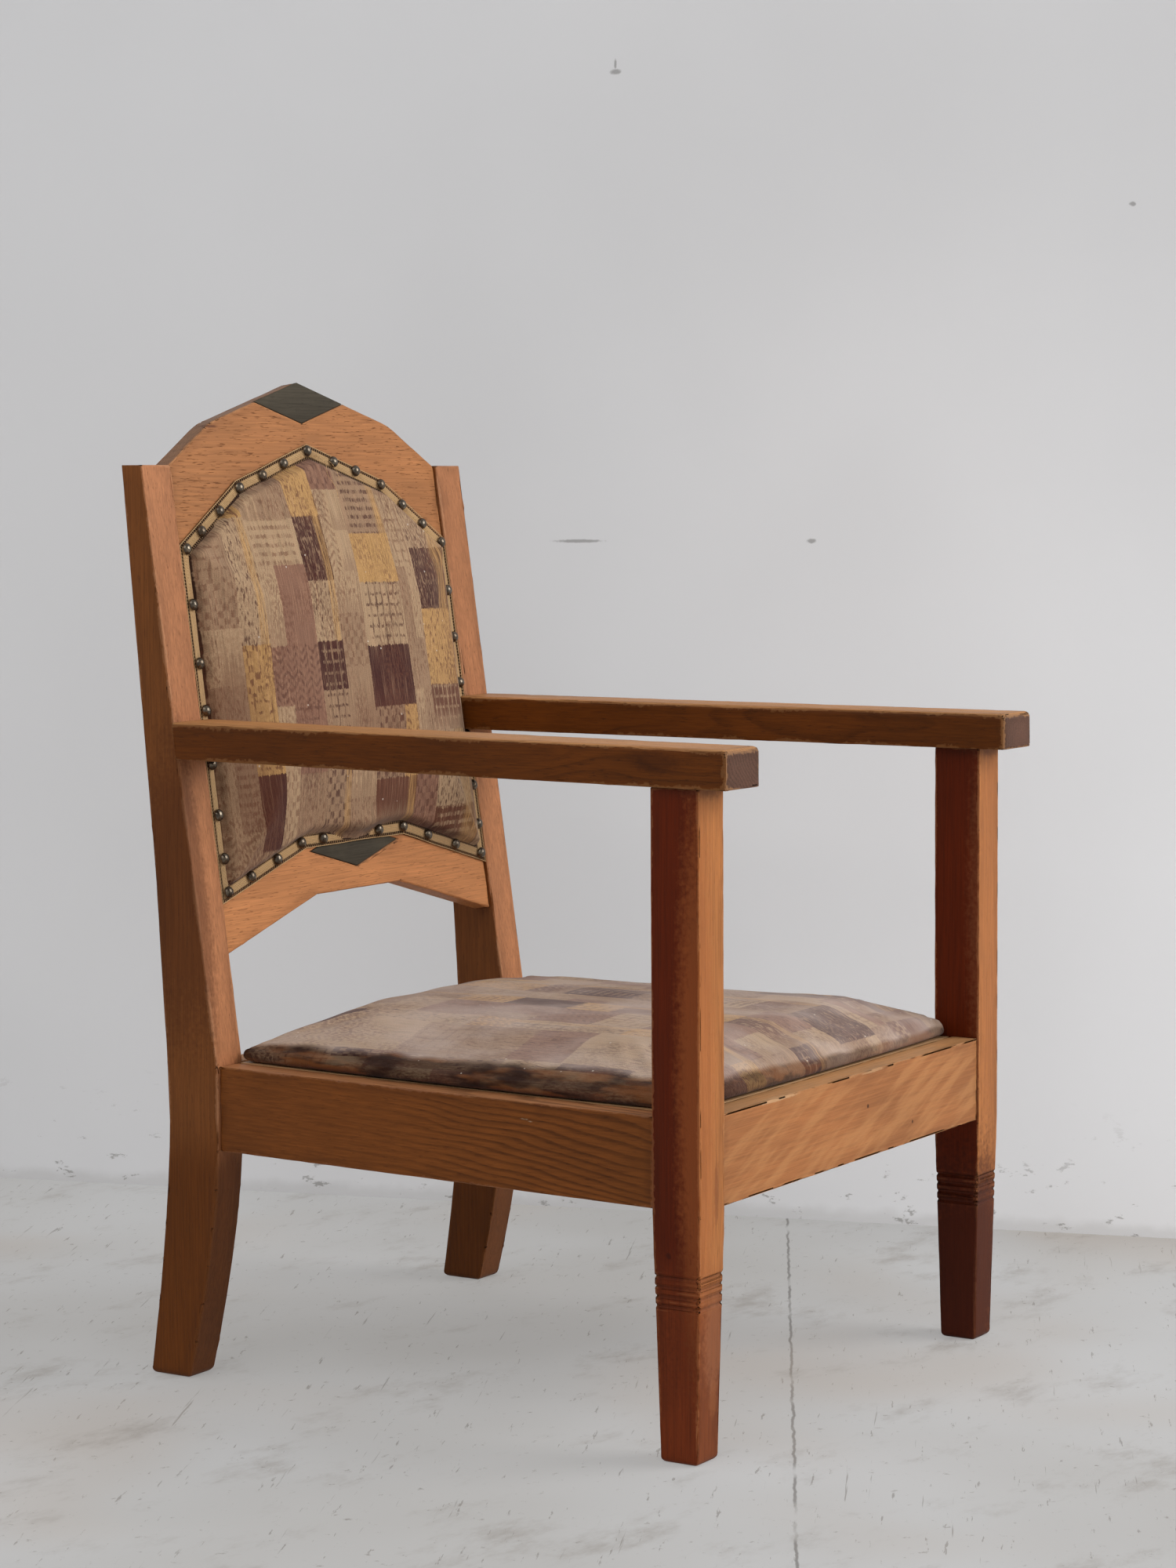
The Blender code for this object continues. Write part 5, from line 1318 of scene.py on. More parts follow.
@dataclass
class BackPad:
    """The stuffed panel of the back: a crowned front inside the flat hem that the braid is nailed over."""

    outline: BackOutline = field(default_factory=BackOutline)
    across: int = 112
    up: int = 104
    foot: tuple[float, float] = (0.2231, 0.149)
    shoulder: tuple[float, float] = (0.2203, 0.491)
    hem: float = 0.015
    hem_depth: float = 0.0020
    rear_depth: float = 0.0034
    rise: float = 0.0022
    ripple: float = 0.0016
    slack_drop: float = 0.0085
    slack_depth: float = 0.0042
    under_braid: float = 6.0

    def crown(self, flat: np.ndarray) -> np.ndarray:
        """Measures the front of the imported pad.

        Args:
            flat: the (x, slope) rows to measure at.

        Returns:
            The front's depth at each row, the hem's at most.
        """
        tree = Bench.skin(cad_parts["back_pad"].data)
        out = np.full(len(flat), self.hem_depth)
        for index, (x, slope) in enumerate(flat):
            hit = tree.ray_cast(on_back(x, slope, -0.2), RAKE_BACK, 0.4)[0]
            if hit is not None:
                out[index] = min(self.hem_depth, (hit - RAKE_ORIGIN).dot(RAKE_BACK))
        return out

    def build(self) -> bpy.types.Object:
        """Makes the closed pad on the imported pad's crown, swells it and lays the cloth on it.

        Returns:
            The pad.
        """
        obj = Bench.fresh(bpy.ops.mesh.primitive_grid_add, "printed_back_pad", x_subdivisions=self.across,
                          y_subdivisions=self.up, size=2.0)
        square = Bench.points(obj)
        x = square[:, 0] * 0.2217
        low, high = self.outline.low(x), self.outline.high(x)
        slope = low + (high - low) * (square[:, 1] + 1.0) / 2.0
        taper = (slope - self.foot[1]) / (self.shoulder[1] - self.foot[1])
        x = square[:, 0] * (self.foot[0] - taper * (self.foot[0] - self.shoulder[0]))
        count = len(x)
        Bench.set_points(obj, np.stack([x, slope, np.zeros(count)], axis=1))
        with Bench.edit(obj):
            bpy.ops.mesh.extrude_region()
        rows = Bench.points(obj)
        gap = self.outline.gap(rows[:, :2])
        front = np.arange(len(rows)) >= count
        crown = self.crown(rows[front][:, :2])
        padded = crown < self.hem_depth
        crown[padded] += self.rise * eased(gap[front][padded], self.hem, 0.04)
        rows[front, 2] = crown
        rows[~front, 2] = self.rear_depth
        Bench.set_points(obj, from_rake(rows))
        with Bench.edit(obj):
            bpy.ops.mesh.normals_make_consistent(inside=False)
        held = np.where(front, 1.0 - eased(gap, self.hem * 0.9, self.hem + 0.006), 1.0)
        Stuffing(cap=0.006).swell(obj, held)
        rows = rake_frame(Bench.points(obj))
        free = np.where(front, eased(gap, self.hem, self.hem + 0.012), 0.0)
        ripple = ripples(rows, (16.0, 9.0), 3.0)
        rows[:, 2] -= free * ripple * self.ripple
        # the cover has slackened over the middle of the lower braid
        slack = np.exp(-((rows[:, 0] + 0.002) / 0.034) ** 2) * np.exp(-((rows[:, 1] - 0.2075) / 0.010) ** 2)
        rows[:, 1] -= np.where(front, slack * self.slack_drop, 0.0)
        rows[:, 2] -= np.where(front, slack * self.slack_depth, 0.0)
        Bench.set_points(obj, from_rake(rows))
        Bench.apply(obj, "SUBSURF", levels=1, render_levels=1)
        rows = rake_frame(Bench.points(obj))
        Bench.lay_cloth(obj, rows[:, :2])
        gap = self.outline.gap(rows[:, :2])
        # the cloth along the braid's inner edge darkens too: partly soil, partly painted shade in the crease beside the
        # braid
        soiled = np.clip(1.0 - eased(gap, self.hem - 0.001, self.hem + 0.006), 0.0, 1.0)
        # painted shade: the cloth under the braid is painted dark, for the shade that shows through the braid's
        # openings
        covered = (gap < self.hem - 0.0012) & (rows[:, 2] > self.hem_depth - 0.0012)
        Bench.note(obj, "hem", np.where(covered, self.under_braid, soiled))
        return obj

    def dress(self, obj: bpy.types.Object) -> bpy.types.Object:
        """Covers the pad in the printed plush.

        Args:
            obj: the pad.

        Returns:
            The pad.
        """
        finish = PlushFinish("plush_back", fade=0.08, shift=(0.023, 0.0), marks=(
            # the first mark darkens the left part of the panel, which turns away from the light: painted shade
            Mark((-0.185, 0.30, 0.56), (0.060, 0.20, 0.17), tone(96, 54, 34), 0.42),
            Mark((0.03, 0.30, 0.60), (0.07, 0.20, 0.05), tone(112, 66, 48), 0.25)))
        Bench.finish(obj, "frame", finish.material(), "plush_cover", "back_pad", angle=70.0)
        return obj


@dataclass
class SeatPad:
    """The loose seat's stuffing and cover, a low crown with soft rolled sides."""

    voxel: float = 0.005
    slack: float = 0.0028
    lump: float = 0.0020
    rim: float = 0.338
    slots: int = 40

    def build(self) -> bpy.types.Object:
        """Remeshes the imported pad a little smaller, swells it and lays the cloth on it.

        Returns:
            The pad.
        """
        obj = Bench.copy_of("seat_pad", "printed_seat_pad")
        low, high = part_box("seat_pad")
        Bench.apply(obj, "REMESH", mode="VOXEL", voxel_size=self.voxel)
        rows = Bench.points(obj)
        normals = Bench.normals(obj)
        loose = eased(rows[:, 2], low.z + 0.004, low.z + 0.018)
        Bench.set_points(obj, rows - normals * (self.slack * loose)[:, None])
        Stuffing(cap=0.0055).swell(obj, 1.0 - loose)
        Bench.apply(obj, "SMOOTH", factor=0.5, iterations=3)
        rows = Bench.points(obj)
        crown = eased(rows[:, 2], low.z + 0.012, low.z + 0.03)
        lumps = ripples(rows, (9.0, 9.0), 5.0) + 0.5 * ripples(rows, (24.0, 20.0), 9.0)
        rows[:, 2] = np.clip(rows[:, 2] + crown * lumps * self.lump, low.z + 0.0002, high.z + 0.004)
        Bench.set_points(obj, rows)
        Bench.apply(obj, "SUBSURF", levels=1, render_levels=1)
        rows = Bench.points(obj)
        rows[:, 2] = np.maximum(rows[:, 2], low.z + 0.0001)
        Bench.set_points(obj, rows)
        # the cloth is laid over the sides from the rim down
        drop = np.maximum(0.0, self.rim - rows[:, 2])
        side = np.sign(rows[:, 0]) * eased(np.abs(rows[:, 0]), 0.200, 0.252)
        ends = np.where(rows[:, 1] < 0.0, -eased(-rows[:, 1], 0.225, 0.277), eased(rows[:, 1], 0.17, 0.22))
        flat = np.stack([rows[:, 0] + side * drop, rows[:, 1] + ends * drop], axis=1)
        Bench.lay_cloth(obj, flat)
        rag = ripples(rows, (30.0, 30.0), 2.0)
        leftwards, forwards = eased(-rows[:, 0], -0.05, 0.24), eased(-rows[:, 1], -0.20, 0.22)
        low_flat, high_flat = flat.min(axis=0), flat.max(axis=0)
        # the hem is measured from the seat's own sides, slot by slot
        slots = np.linspace(low_flat[1], high_flat[1], self.slots + 1)
        slot = np.clip(np.searchsorted(slots, flat[:, 1]) - 1, 0, self.slots - 1)
        edge = np.zeros(self.slots)
        np.maximum.at(edge, slot, np.abs(flat[:, 0]))
        half = np.interp(flat[:, 1], (slots[:-1] + slots[1:]) / 2.0, edge)
        hem = np.zeros(len(rows))
        # the hem reaches widest and darkest along the left side and towards the left of the front, the side away from
        # the light: painted shade there, as well as soil
        for gap, reach, strength in ((flat[:, 0] + half, 0.036 + 0.022 * forwards, 1.0),
                                     (flat[:, 1] - low_flat[1], 0.014 + 0.018 * leftwards, 0.55 + 0.45 * leftwards),
                                     (half - flat[:, 0], 0.016, 0.6), (high_flat[1] - flat[:, 1], 0.016, 0.7)):
            hem = np.maximum(hem, np.clip((1.0 + 0.3 * rag - gap / reach) * 2.6, 0.0, 1.0) * strength)
        Bench.note(obj, "hem", hem)
        return obj

    def dress(self, obj: bpy.types.Object) -> bpy.types.Object:
        """Covers the pad in the printed plush, more faded than the back.

        Args:
            obj: the pad.

        Returns:
            The pad.
        """
        finish = PlushFinish("plush_seat", fade=0.60, faded=tone(222, 204, 194), soiled=tone(46, 20, 6),
                             shift=(0.010, 0.037), lint=0.22, dirt=(0.66, 1.0), rust=0.85)
        Bench.finish(obj, "seat", finish.material(), "plush_cover", "seat_pad", angle=70.0)
        return obj


@dataclass
class Braid:
    """The woven trim round the panel: a ribbed middle, a row of openwork squares on each side, and looped edges."""

    outline: BackOutline = field(default_factory=BackOutline)
    lines: tuple[float, ...] = (0.0, 0.8, 3.5, 4.2, 5.6, 7.5, 9.4, 10.8, 11.5, 14.2, 15.0)
    holes: tuple[int, ...] = (1, 8)
    pitch: float = 0.0032
    hole: float = 0.0025
    width: float = 0.015
    thickness: float = 0.0004
    wobble: float = 0.0007
    loop: float = 0.00022
    rib: float = 0.00045
    edge: float = 0.00025
    lift: float = 0.0004

    def run(self, start: int, outer: list[Vector], inner: list[Vector], depth: float) -> bpy.types.Object:
        """Weaves one straight length between two corners.

        Args:
            start: which side of the panel.
            outer: the outer corners.
            inner: the inner corners.
            depth: where the braid lies on the raked back.

        Returns:
            The flat length with its openings.
        """
        a, b = outer[start], outer[(start + 1) % len(outer)]
        c, d = inner[start], inner[(start + 1) % len(inner)]
        count = max(2, round((b - a).length / self.pitch))
        last = len(self.lines) - 1
        obj = Bench.fresh(bpy.ops.mesh.primitive_grid_add, x_subdivisions=2 * count, y_subdivisions=last, size=2.0)
        square = Bench.points(obj)
        column = np.rint((square[:, 0] + 1.0) * count).astype(int)
        row = np.rint((square[:, 1] + 1.0) / 2.0 * last).astype(int)
        along = (column // 2 + np.where(column % 2, self.hole / self.pitch, 0.0)) / count
        across = np.array(self.lines)[row] / self.lines[-1]
        start_out, end_out, start_in, end_in = (np.array(p) for p in (a, b, c, d))
        out = start_out + (end_out - start_out) * along[:, None]
        inn = start_in + (end_in - start_in) * along[:, None]
        flat = out + (inn - out) * across[:, None]
        reach = along * (b - a).length
        inward = (inn - out) / np.maximum(np.linalg.norm(inn - out, axis=1, keepdims=True), 1e-9)
        seed = start * 7.3
        sway = np.array([noise.noise(Vector((t * 26.0, seed, 0.0))) for t in reach]) * self.wobble
        sway *= np.sin(np.pi * np.clip(along, 0.0, 1.0)) ** 0.3
        turns = np.where(column % 2, 1.0, -1.0)
        loops = np.where(row == 0, turns, np.where(row == last, -turns, 0.0)) * self.loop
        flat = flat + inward * (sway + loops)[:, None]
        ribs = np.where((row >= 4) & (row <= 6), self.rib + self.edge * turns, 0.0)
        ribs = ribs + np.where((row <= 1) | (row >= last - 1), self.edge, 0.0)
        waves = [noise.noise(Vector((t * 19.0, seed + 40.0, q * 3.0))) for t, q in zip(reach, across)]
        lift = self.lift * (0.5 + 0.5 * np.array(waves))
        Bench.set_points(obj, from_rake(np.stack([flat[:, 0], flat[:, 1], depth - ribs - lift], axis=1)))
        Bench.lay_cloth(obj, np.stack([reach, across * self.width], axis=1))
        Bench.only(obj)
        for face in obj.data.polygons:
            corners = list(face.vertices)
            face.select = bool(column[corners].min() % 2 == 0 and row[corners].min() in self.holes)
        bpy.context.tool_settings.mesh_select_mode = (False, False, True)
        with Bench.edit(obj, None):
            bpy.ops.mesh.delete(type="FACE")
        return obj

    def build(self, name: str, depth: float, rear: bool = False) -> bpy.types.Object:
        """Weaves every length, joins them and gives them their thickness.

        Args:
            name: what the braid is called.
            depth: where it lies.
            rear: True for the braid on the rear of the back.

        Returns:
            The whole braid.
        """
        outer, inner = self.outline.inset(0.0002), self.outline.inset(self.width)
        runs = [self.run(i, outer, inner, depth) for i in range(len(outer))]
        obj = Bench.join(runs, name)
        with Bench.edit(obj):
            bpy.ops.mesh.remove_doubles(threshold=0.00025)
        facing = sum((p.normal * p.area for p in obj.data.polygons), Vector())
        if (facing.dot(RAKE_BACK) > 0.0) != rear:
            with Bench.edit(obj, None):
                bpy.ops.mesh.flip_normals()
        Bench.apply(obj, "SOLIDIFY", thickness=self.thickness, offset=-1.0)
        return obj


@dataclass
class RoundNails:
    """The domed nails along the middle of the braid, set by hand and so a little uneven."""

    radius: float = 0.0058
    rise: float = 0.0046
    rim: float = 0.0004
    seat: float = 0.0004
    tip: float = 0.22
    places: tuple[tuple[float, float], ...] = (
        (-0.003, 0.5815), (-0.0445, 0.5685), (-0.081, 0.557), (-0.120, 0.545), (-0.155, 0.5225), (-0.187, 0.5035),
        (-0.2125, 0.487), (0.039, 0.5705), (0.075, 0.5615), (0.116, 0.5475), (0.149, 0.5265), (0.181, 0.5065),
        (0.2115, 0.4865), (-0.2135, 0.434), (-0.2145, 0.378), (-0.214, 0.333), (-0.215, 0.282), (-0.215, 0.2335),
        (-0.2145, 0.192), (-0.2145, 0.160), (0.2125, 0.436), (0.213, 0.387), (0.2135, 0.339), (0.214, 0.284),
        (0.2145, 0.231), (0.215, 0.190), (0.2135, 0.1595), (-0.177, 0.1715), (-0.133, 0.184), (-0.092, 0.1965),
        (-0.056, 0.198), (0.038, 0.1985), (0.0805, 0.1985), (0.122, 0.1865), (0.169, 0.1725))

    def head(self) -> bpy.types.Object:
        """Models one nail head, a low dome that is flat below.

        Returns:
            The head, with its crown along Z.
        """
        obj = Bench.fresh(bpy.ops.mesh.primitive_uv_sphere_add, "round_nails", segments=20, ring_count=12,
                          radius=self.radius)
        with Bench.edit(obj):
            bpy.ops.mesh.bisect(plane_co=(0.0, 0.0, self.rim), plane_no=(0.0, 0.0, 1.0), clear_inner=True,
                                use_fill=True)
            bpy.ops.mesh.select_all(action="SELECT")
            bpy.ops.transform.resize(value=(1.0, 1.0, self.rise / self.radius), center_override=(0.0, 0.0, 0.0))
            bpy.ops.mesh.normals_make_consistent(inside=False)
        return obj

    def build(self) -> bpy.types.Object:
        """Sets a copy of the head at every place.

        Returns:
            All the heads as one piece.
        """
        first = self.head()
        shape = Bench.points(first)
        heads = []
        for index, (x, slope) in enumerate(self.places):
            obj = first.copy()
            obj.data = first.data.copy()
            bpy.context.scene.collection.objects.link(obj)
            aside, up = (noise.noise(Vector((index * 3.1, layer, 0.0))) * self.tip for layer in (1.0, 8.0))
            toward = (-RAKE_BACK + Vector((aside, 0.0, 0.0)) + RAKE_UP * up).normalized()
            turn = np.array(toward.to_track_quat("Z", "Y").to_matrix())
            Bench.set_points(obj, shape @ turn.T + np.array(on_back(x, slope, -self.seat)))
            heads.append(obj)
        bpy.data.objects.remove(first)
        return Bench.join(heads, "round_nails")


@dataclass
class LooseThreads:
    """Two pale threads that have worked loose at the top of the braid and hang on the cover."""

    radius: float = 0.00022
    paths: tuple[tuple[Triple, ...], ...] = (
        ((0.004, 0.5765, -0.004), (0.009, 0.568, -0.012), (0.006, 0.555, -0.016), (0.013, 0.541, -0.019),
         (0.011, 0.531, -0.0215)),
        ((0.006, 0.5770, -0.003), (0.017, 0.570, -0.011), (0.024, 0.556, -0.0155), (0.021, 0.546, -0.019)))

    def build(self) -> bpy.types.Object:
        """Draws each thread as a smooth round strand.

        Returns:
            The threads as one mesh.
        """
        made = []
        for path in self.paths:
            curve = bpy.data.curves.new("loose_threads", "CURVE")
            curve.dimensions, curve.use_fill_caps = "3D", True
            curve.bevel_depth, curve.bevel_resolution = self.radius, 1
            spline = curve.splines.new("BEZIER")
            spline.bezier_points.add(len(path) - 1)
            for point, (x, slope, depth) in zip(spline.bezier_points, path):
                point.co = on_back(x, slope, depth)
                point.handle_left_type = point.handle_right_type = "AUTO"
            obj = bpy.data.objects.new("loose_threads", curve)
            bpy.context.scene.collection.objects.link(obj)
            Bench.only(obj)
            bpy.ops.object.convert(target="MESH")
            made.append(bpy.context.object)
        threads = Bench.join(made, "loose_threads")
        Bench.lay_cloth(threads, Bench.points(threads)[:, :2])
        return threads


@dataclass(frozen=True)
class Hessian(WovenFinish):
    """Coarser and greyer than the webbing."""

    colour: Colour = tone(150, 122, 84)
    pitch: float = 0.0024


class BackUpholstery:
    """Everything nailed to the back: pad, braid, nails, the rear cover and the webbing inside."""

    def build(self) -> None:
        """Builds and dresses the upholstery of the back."""
        pad = BackPad()
        pad.dress(pad.build())
        straw = BraidFinish().material()
        trim = Braid().build("straw_braid_front", 0.0014)
        Bench.finish(trim, "frame", straw, "straw_braid", "nailed_braid", angle=50.0)
        nails = RoundNails().build()
        Bench.finish(nails, "frame", BronzeFinish().material(), "straw_braid", "nailed_braid", angle=60.0)
        threads = LooseThreads().build()
        Bench.finish(threads, "frame", straw, "straw_braid", angle=60.0)
        rear = Braid().build("straw_braid_rear", 0.0258, rear=True)
        Bench.finish(rear, "frame", straw, "straw_braid", "rear_braid", angle=50.0)
        self.cover()
        for kind in ("upright", "cross"):
            for index in (1, 2, 3):
                self.strip(f"back_webbing_{kind}_{index}", Grain.ACROSS_RAKED)
        self.hessian("back_hessian")

    def cover(self) -> bpy.types.Object:
        """The cloth over the rear of the back, drawn in a little between its hems.

        Returns:
            The cover.
        """
        outline = BackOutline()
        obj = Bench.copy_of("back_outside_cover", "rear_cover_cloth")
        Bench.slice(obj, Vector((1.0, 0.0, 0.0)), -0.2231, 0.2231, 0.0085)
        origin = RAKE_ORIGIN.dot(RAKE_UP)
        Bench.slice(obj, RAKE_UP, origin + 0.149, origin + 0.5885, 0.0085)
        rows = rake_frame(Bench.points(obj))
        gap = outline.gap(rows[:, :2])
        inner = eased(gap, 0.014, 0.060)
        ripple = ripples(rows, (14.0, 8.0), 11.0)
        rows[:, 2] -= inner * (0.0022 + 0.0009 * ripple)
        Bench.set_points(obj, from_rake(rows))
        Bench.lay_cloth(obj, rows[:, :2])
        Bench.note(obj, "hem", 1.0 - eased(gap, 0.014, 0.021))
        finish = PlushFinish("plush_rear", fade=0.12, shift=(0.011, 0.052), lint=0.05)
        Bench.finish(obj, "frame", finish.material(), "plush_cover", "back_outside_cover", angle=60.0)
        return obj

    def strip(self, node: str, grain: Grain) -> bpy.types.Object:
        """Dresses one strip of webbing.

        Args:
            node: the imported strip.
            grain: the plane that it lies in.

        Returns:
            The strip.
        """
        obj = Bench.copy_of(node, "woven_" + node)
        finish = WovenFinish("jute_" + grain.name.lower(), turn=(math.pi / 2 + RAKE, 0.0, 0.0))
        return Bench.finish(obj, "frame", finish.material(), "jute_support", node)

    def hessian(self, node: str) -> bpy.types.Object:
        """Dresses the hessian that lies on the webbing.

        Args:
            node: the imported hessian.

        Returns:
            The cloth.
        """
        obj = Bench.copy_of(node, "woven_" + node)
        finish = Hessian("hessian_frame", turn=(math.pi / 2 + RAKE, 0.0, 0.0))
        Bench.finish(obj, "frame", finish.material(), "jute_support", node)
        rows = rake_frame(Bench.points(obj))
        return obj


class SeatSupport:
    """The webbing and hessian under the loose seat."""

    def build(self) -> None:
        """Dresses each strip and the hessian over them."""
        for kind in ("long", "cross"):
            for index in (1, 2, 3, 4):
                node = f"seat_webbing_{kind}_{index}"
                obj = Bench.copy_of(node, "woven_" + node)
                Bench.finish(obj, "seat", WovenFinish("jute_seat").material(), "jute_support", node)
        obj = Bench.copy_of("seat_hessian", "woven_seat_hessian")
        Bench.finish(obj, "seat", Hessian("hessian_seat").material(), "jute_support", "seat_hessian")


class InnerParts:
    """The hidden beech and steel, the dowels and the two dark inlays."""

    def build(self) -> None:
        """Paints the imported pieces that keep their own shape, and eases the inlays."""
        for name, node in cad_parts.items():
            if node.hide_render:
                continue
            if name in ("crest_diamond", "lower_diamond"):
                self.inlay(name)
                continue
            paint = self.finish(name).material()
            node.data.materials.clear()
            node.data.materials.append(paint)
            LOG.info("%s: painted %s", name, paint.name)

    def finish(self, name: str) -> Finish:
        """The finish of a hidden piece, its grain along its length.

        Args:
            name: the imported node's name.

        Returns:
            The finish.
        """
        if "screw" in name:
            return SteelFinish()
        way = Grain.ACROSS
        if "back_batten" in name:
            way = Grain.UPRIGHT
        elif "block" not in name and any(word in name for word in ("left", "right", "upright")):
            way = Grain.DEEP
        return OakFinish("beech_" + way.name.lower(), way, front=tone(190, 150, 108), side=tone(184, 142, 100),
                         top=tone(190, 150, 110), worn=tone(200, 165, 125), pore=tone(140, 98, 62), figure=0.25,
                         pores=0.35, wear_amount=0.0)

    def inlay(self, node: str) -> bpy.types.Object:
        """Eases the edges of a dark lozenge and stains it.

        Args:
            node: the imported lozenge.

        Returns:
            The inlay.
        """
        obj = Bench.copy_of(node, "dark_" + node)
        Bench.apply(obj, "BEVEL", width=0.0007, segments=2, limit_method="ANGLE", angle_limit=SHARP)
        return Bench.finish(obj, "frame", StainFinish().material(), "ebonised_inlay", node)


# ------------------------------------------------------------------------ room


@dataclass(frozen=True)
class RoomPaint(Finish):
    """Pale paint, clear from behind so that other views see past it, and lit a little where it is looked at."""

    name: str
    colour: Colour
    low: Colour
    glow: float
    dim: float
    glare: float = 1.55

    def aged(self, s: Shader, g: Graph, body: Value) -> tuple[Value, object]:
        """The paint with the marks of age on it.

        Args:
            s: its shader.
            g: the shader's graph.
            body: its plain colour.

        Returns:
            Its colour, and how much light it adds.
        """
        return body, (self.glow,) * 3

    def paint(self, s: Shader, g: Graph) -> None:
        """Adds the nodes: where a view looks at it, the paint gives light and takes shadows softly."""
        body = g.mix(g.span(g.noise(s.where, 1.3, 3.0), 0.3, 0.7), self.low, self.colour)
        body, glow = self.aged(s, g, body)
        mirrored = g.math("MAXIMUM", g.give("LightPath", "Is Glossy Ray"), g.give("LightPath", "Is Transmission Ray"))
        share = g.math("MAXIMUM", g.give("LightPath", "Is Camera Ray"), mirrored)
        s.feed(Base_Color=g.mix(share * self.dim, body, (0.0, 0.0, 0.0)), Roughness=0.85, Specular_IOR_Level=0.2,
               Emission_Color=g.scale(g.vector("MULTIPLY", body, glow), share * self.glare), Emission_Strength=1.0,
               Alpha=1.0 - g.give("NewGeometry", "Backfacing"))


@dataclass(frozen=True)
class WallPaint(RoomPaint):
    """The wall: brighter low down and near the front, chipped above the floor and knocked in a few places."""

    name: str = "wall_paint"
    colour: Colour = tone(214, 214, 215)
    low: Colour = tone(206, 206, 207)
    glow: float = 0.13
    dim: float = 0.0
    knocks: tuple[tuple[Triple, Triple], ...] = (
        ((0.6118, 0.378, 0.7773), (0.02, 0.034, 0.0022)), ((0.6868, 0.1141, 0.7768), (0.01, 0.006, 0.003)),
        ((0.6249, 0.3325, 1.3085), (0.01, 0.007, 0.0035)), ((0.6249, 0.3325, 1.3170), (0.01, 0.0016, 0.0060)),
        ((0.785, -0.2322, 1.1437), (0.01, 0.004, 0.003)))

    def aged(self, s: Shader, g: Graph, body: Value) -> tuple[Value, object]:
        """Adds the wall's dirt, chips and knocks, and its uneven light, as RoomPaint says."""
        _, y, z = g.split(s.where)
        bright = g.span(z, 1.5, 0.3, 0.12, 1.0) * g.span(y, 1.0, -0.25, 0.15, 1.0)
        base = z + g.noise(s.where, 30.0, 3.0) * -0.02
        body = g.mix(g.span(base, -0.006, 0.010, 0.22, 0.0), body, tone(140, 136, 130))
        chips = g.span(g.noise(s.where, (26.0, 26.0, 60.0), 5.0, 0.7), 0.61, 0.67) * g.span(z, 0.0, 0.16, 1.0, 0.0)
        body = g.mix(chips * 0.6, body, tone(110, 106, 100))
        body = s.spotted(body, [Mark(place, reach, tone(96, 92, 88), 0.55) for place, reach in self.knocks])
        return body, g.mix(bright, (self.glow,) * 3, (self.glow + 0.14,) * 3)


@dataclass(frozen=True)
class FloorPaint(RoomPaint):
    """The floor: one long crack, scratches, warm and dark stains, and grit."""

    name: str = "floor_paint"
    colour: Colour = tone(214, 214, 214)
    low: Colour = tone(198, 196, 193)
    glow: float = 0.30
    dim: float = 0.6

    def aged(self, s: Shader, g: Graph, body: Value) -> tuple[Value, object]:
        """Adds the floor's crack, scratches and stains, as RoomPaint says."""
        x, y, _ = g.split(s.where)
        line = (x - 0.023) * 0.490 - (y - -0.2261) * 0.872
        line = line + (g.noise(s.where, (40.0, 40.0, 1.0), 3.0) - 0.5) * 0.006
        crack = g.span(abs(line), 0.0006, 0.0020, 1.0, 0.0)
        crack = crack * g.span(g.noise(s.where, (12.0, 12.0, 1.0), 3.0), 0.28, 0.50)
        body = g.mix(crack * 0.6, body, tone(96, 90, 84))
        turned = g.join(x * 0.90 + y * 0.43, y * 0.90 - x * 0.43)
        for where, spread, detail, rough, low, high, most, colour in (
                (turned, (3.0, 95.0, 1.0), 4.0, 0.7, 0.655, 0.700, 0.5, tone(120, 112, 104)),
                (turned, (16.0, 130.0, 1.0), 4.0, 0.7, 0.635, 0.680, 0.5, tone(120, 112, 104)),
                (s.where, (1.7, 1.7, 1.0), 2.0, 0.5, 0.50, 0.72, 0.35, tone(196, 178, 160)),
                (s.where, (5.0, 9.0, 1.0), 6.0, 0.7, 0.52, 0.75, 0.5, tone(150, 140, 130)),
                (s.where, (70.0, 70.0, 1.0), 4.0, 0.7, 0.62, 0.74, 0.55, tone(120, 108, 98))):
            body = g.mix(g.span(g.noise(where, spread, detail, rough), low, high, 0.0, most), body, colour)
        return super().aged(s, g, body)


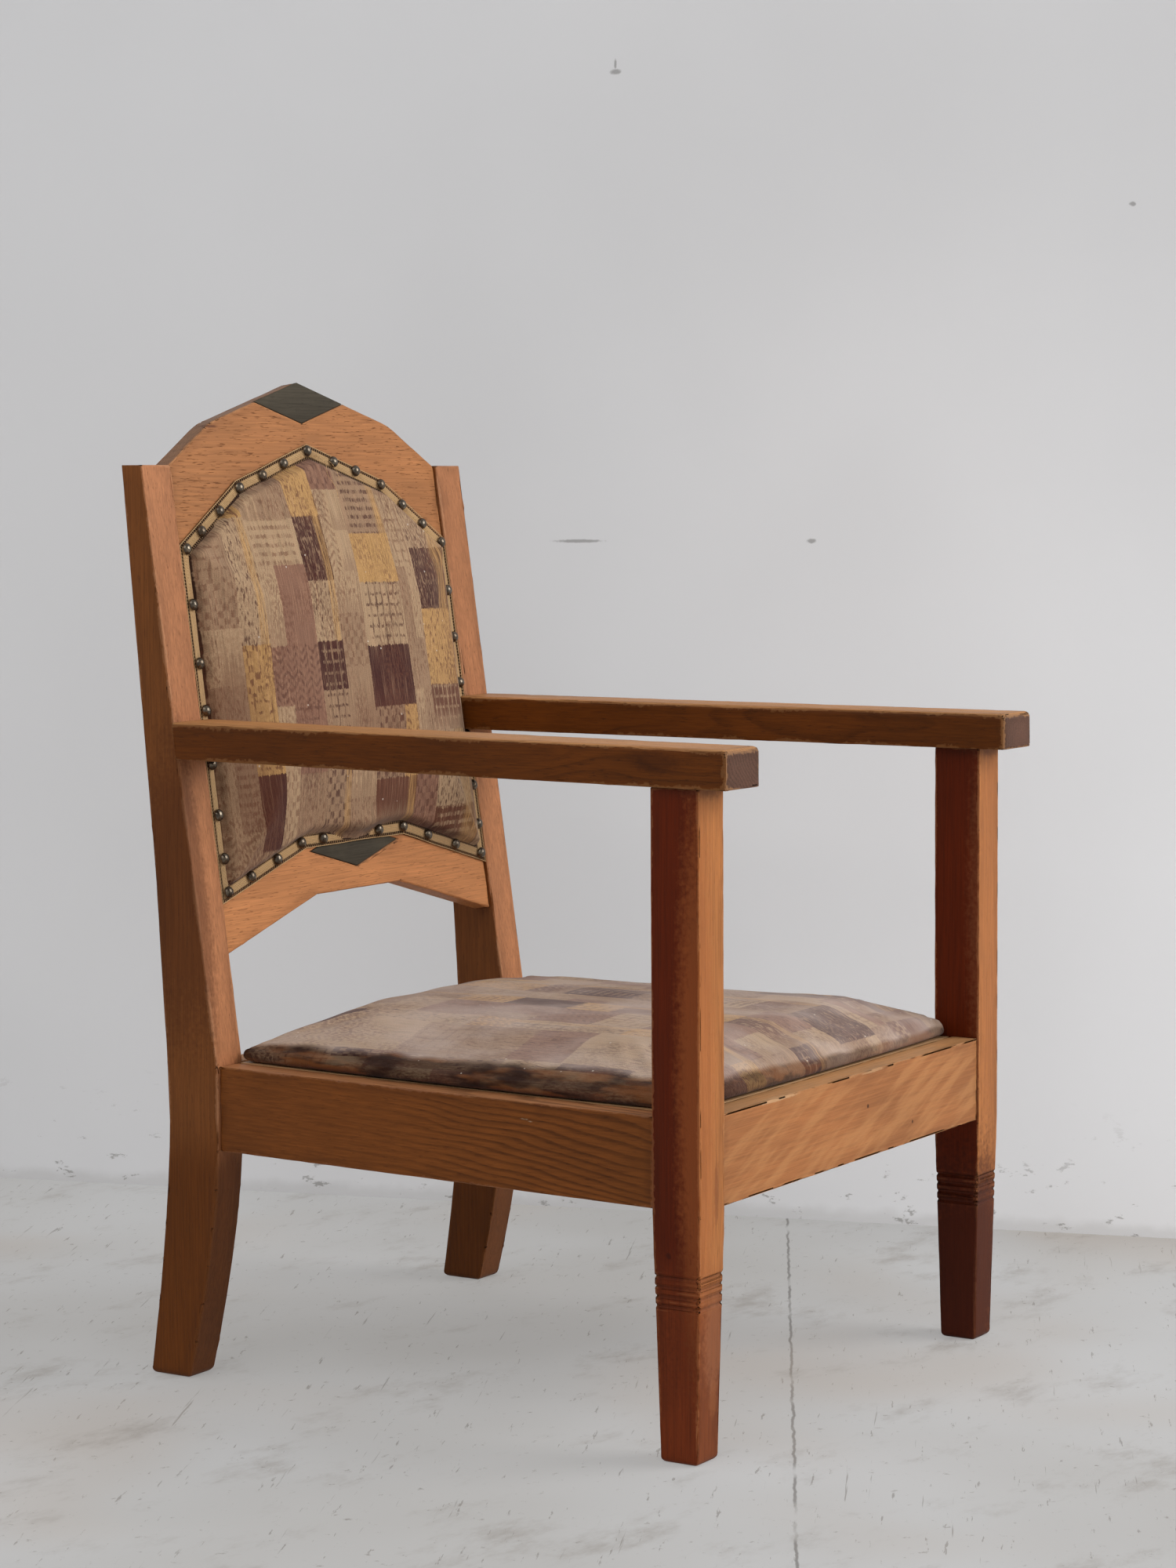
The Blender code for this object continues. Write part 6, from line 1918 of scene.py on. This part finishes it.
@dataclass
class Studio:
    """The pale floor and wall, the soft lamps and the camera."""

    camera_at: Triple = (-2.9028, -1.8456, 0.8383)
    yaw: float = -57.806
    pitch: float = -4.695
    roll: float = -0.367
    lens: float = 36.0 * 4601.0 / 2000.0
    wall_from: tuple[float, float] = (0.41, 1.09)
    wall_to: tuple[float, float] = (0.80, -0.285)
    wall_height: float = 3.2

    def camera(self) -> bpy.types.Object:
        """Makes the camera at the photograph's place.

        Returns:
            The scene's camera.
        """
        data = bpy.data.cameras.new("camera")
        data.lens, data.sensor_width, data.sensor_fit = self.lens, 36.0, "AUTO"
        data.clip_start, data.clip_end = 0.05, 60.0
        yaw, pitch, roll = (math.radians(a) for a in (self.yaw, self.pitch, self.roll))
        ahead = Vector((-math.sin(yaw) * math.cos(pitch), math.cos(yaw) * math.cos(pitch), math.sin(pitch)))
        right = Vector((math.cos(yaw), math.sin(yaw), 0.0))
        up = right.cross(ahead)
        right, up = right * math.cos(roll) + up * math.sin(roll), up * math.cos(roll) - right * math.sin(roll)
        obj = bpy.data.objects.new("camera", data)
        turn = Matrix((right, up, -ahead)).transposed().to_4x4()
        obj.matrix_world = Matrix.Translation(self.camera_at) @ turn
        bpy.context.scene.collection.objects.link(obj)
        bpy.context.scene.camera = obj
        return obj

    def lamp(self, name: str, place: Triple, aim: Triple, size: float, power: float) -> bpy.types.Object:
        """Hangs one soft square lamp.

        Args:
            name: its name.
            place: where it hangs.
            aim: what it points at.
            size: the length of its side.
            power: its power in watts.

        Returns:
            The lamp.
        """
        data = bpy.data.lights.new(name, "AREA")
        data.shape, data.size, data.energy = "SQUARE", size, power
        obj = bpy.data.objects.new(name, data)
        obj.location = place
        obj.rotation_mode = "QUATERNION"
        obj.rotation_quaternion = (Vector(aim) - Vector(place)).to_track_quat("-Z", "Y")
        bpy.context.scene.collection.objects.link(obj)
        return obj

    def build(self) -> list[bpy.types.Object]:
        """Lays the floor and stands the wall where the photograph has their seam.

        Returns:
            The floor and the wall.
        """
        floor = Bench.fresh(bpy.ops.mesh.primitive_plane_add, "floor", size=14.0, location=(-1.0, 0.0, 0.0))
        bpy.ops.object.transform_apply(location=True, rotation=True, scale=True)
        floor.data.materials.append(FloorPaint().material())
        a, b = Vector((*self.wall_from, 0.0)), Vector((*self.wall_to, 0.0))
        along = (b - a).normalized()
        first, last = a - along * 3.0, b + along * 0.25
        wall = Bench.fresh(bpy.ops.mesh.primitive_plane_add, "wall", size=1.0)
        for vertex in wall.data.vertices:
            top = Vector((0.0, 0.0, self.wall_height)) if vertex.co.y > 0 else Vector()
            vertex.co = (last if vertex.co.x > 0 else first) + top
        wall.data.update()
        if wall.data.polygons[0].normal.x > 0:
            with Bench.edit(wall):
                bpy.ops.mesh.flip_normals()
        wall.data.materials.append(WallPaint().material())
        return [floor, wall]

    def light(self) -> None:
        """Hangs the lamps and sets the plain world."""
        self.lamp("key", (1.5, -2.9, 2.1), (0.0, 0.0, 0.45), 2.2, 84.0)
        self.lamp("fill", (-2.6, -0.4, 3.0), (0.0, 0.0, 0.4), 2.4, 26.0)
        world = bpy.context.scene.world = bpy.data.worlds.new("room")
        world.use_nodes = True
        colour, strength = world.node_tree.nodes["Background"].inputs[:2]
        colour.default_value, strength.default_value = (0.82, 0.82, 0.83, 1.0), 0.62
        bpy.context.scene.view_settings.view_transform = "Standard"


def main() -> None:
    """Builds and dresses the chair, piece by piece, and sets the room."""
    logging.basicConfig(level=logging.INFO, format="%(message)s")
    studio = Studio()
    studio.camera()
    studio.build()
    studio.light()
    oak = OakFrame()
    oak.dress(oak.build())
    BackUpholstery().build()
    seat = SeatPad()
    seat.dress(seat.build())
    SeatSupport().build()
    InnerParts().build()


if __name__ == "__main__":
    main()
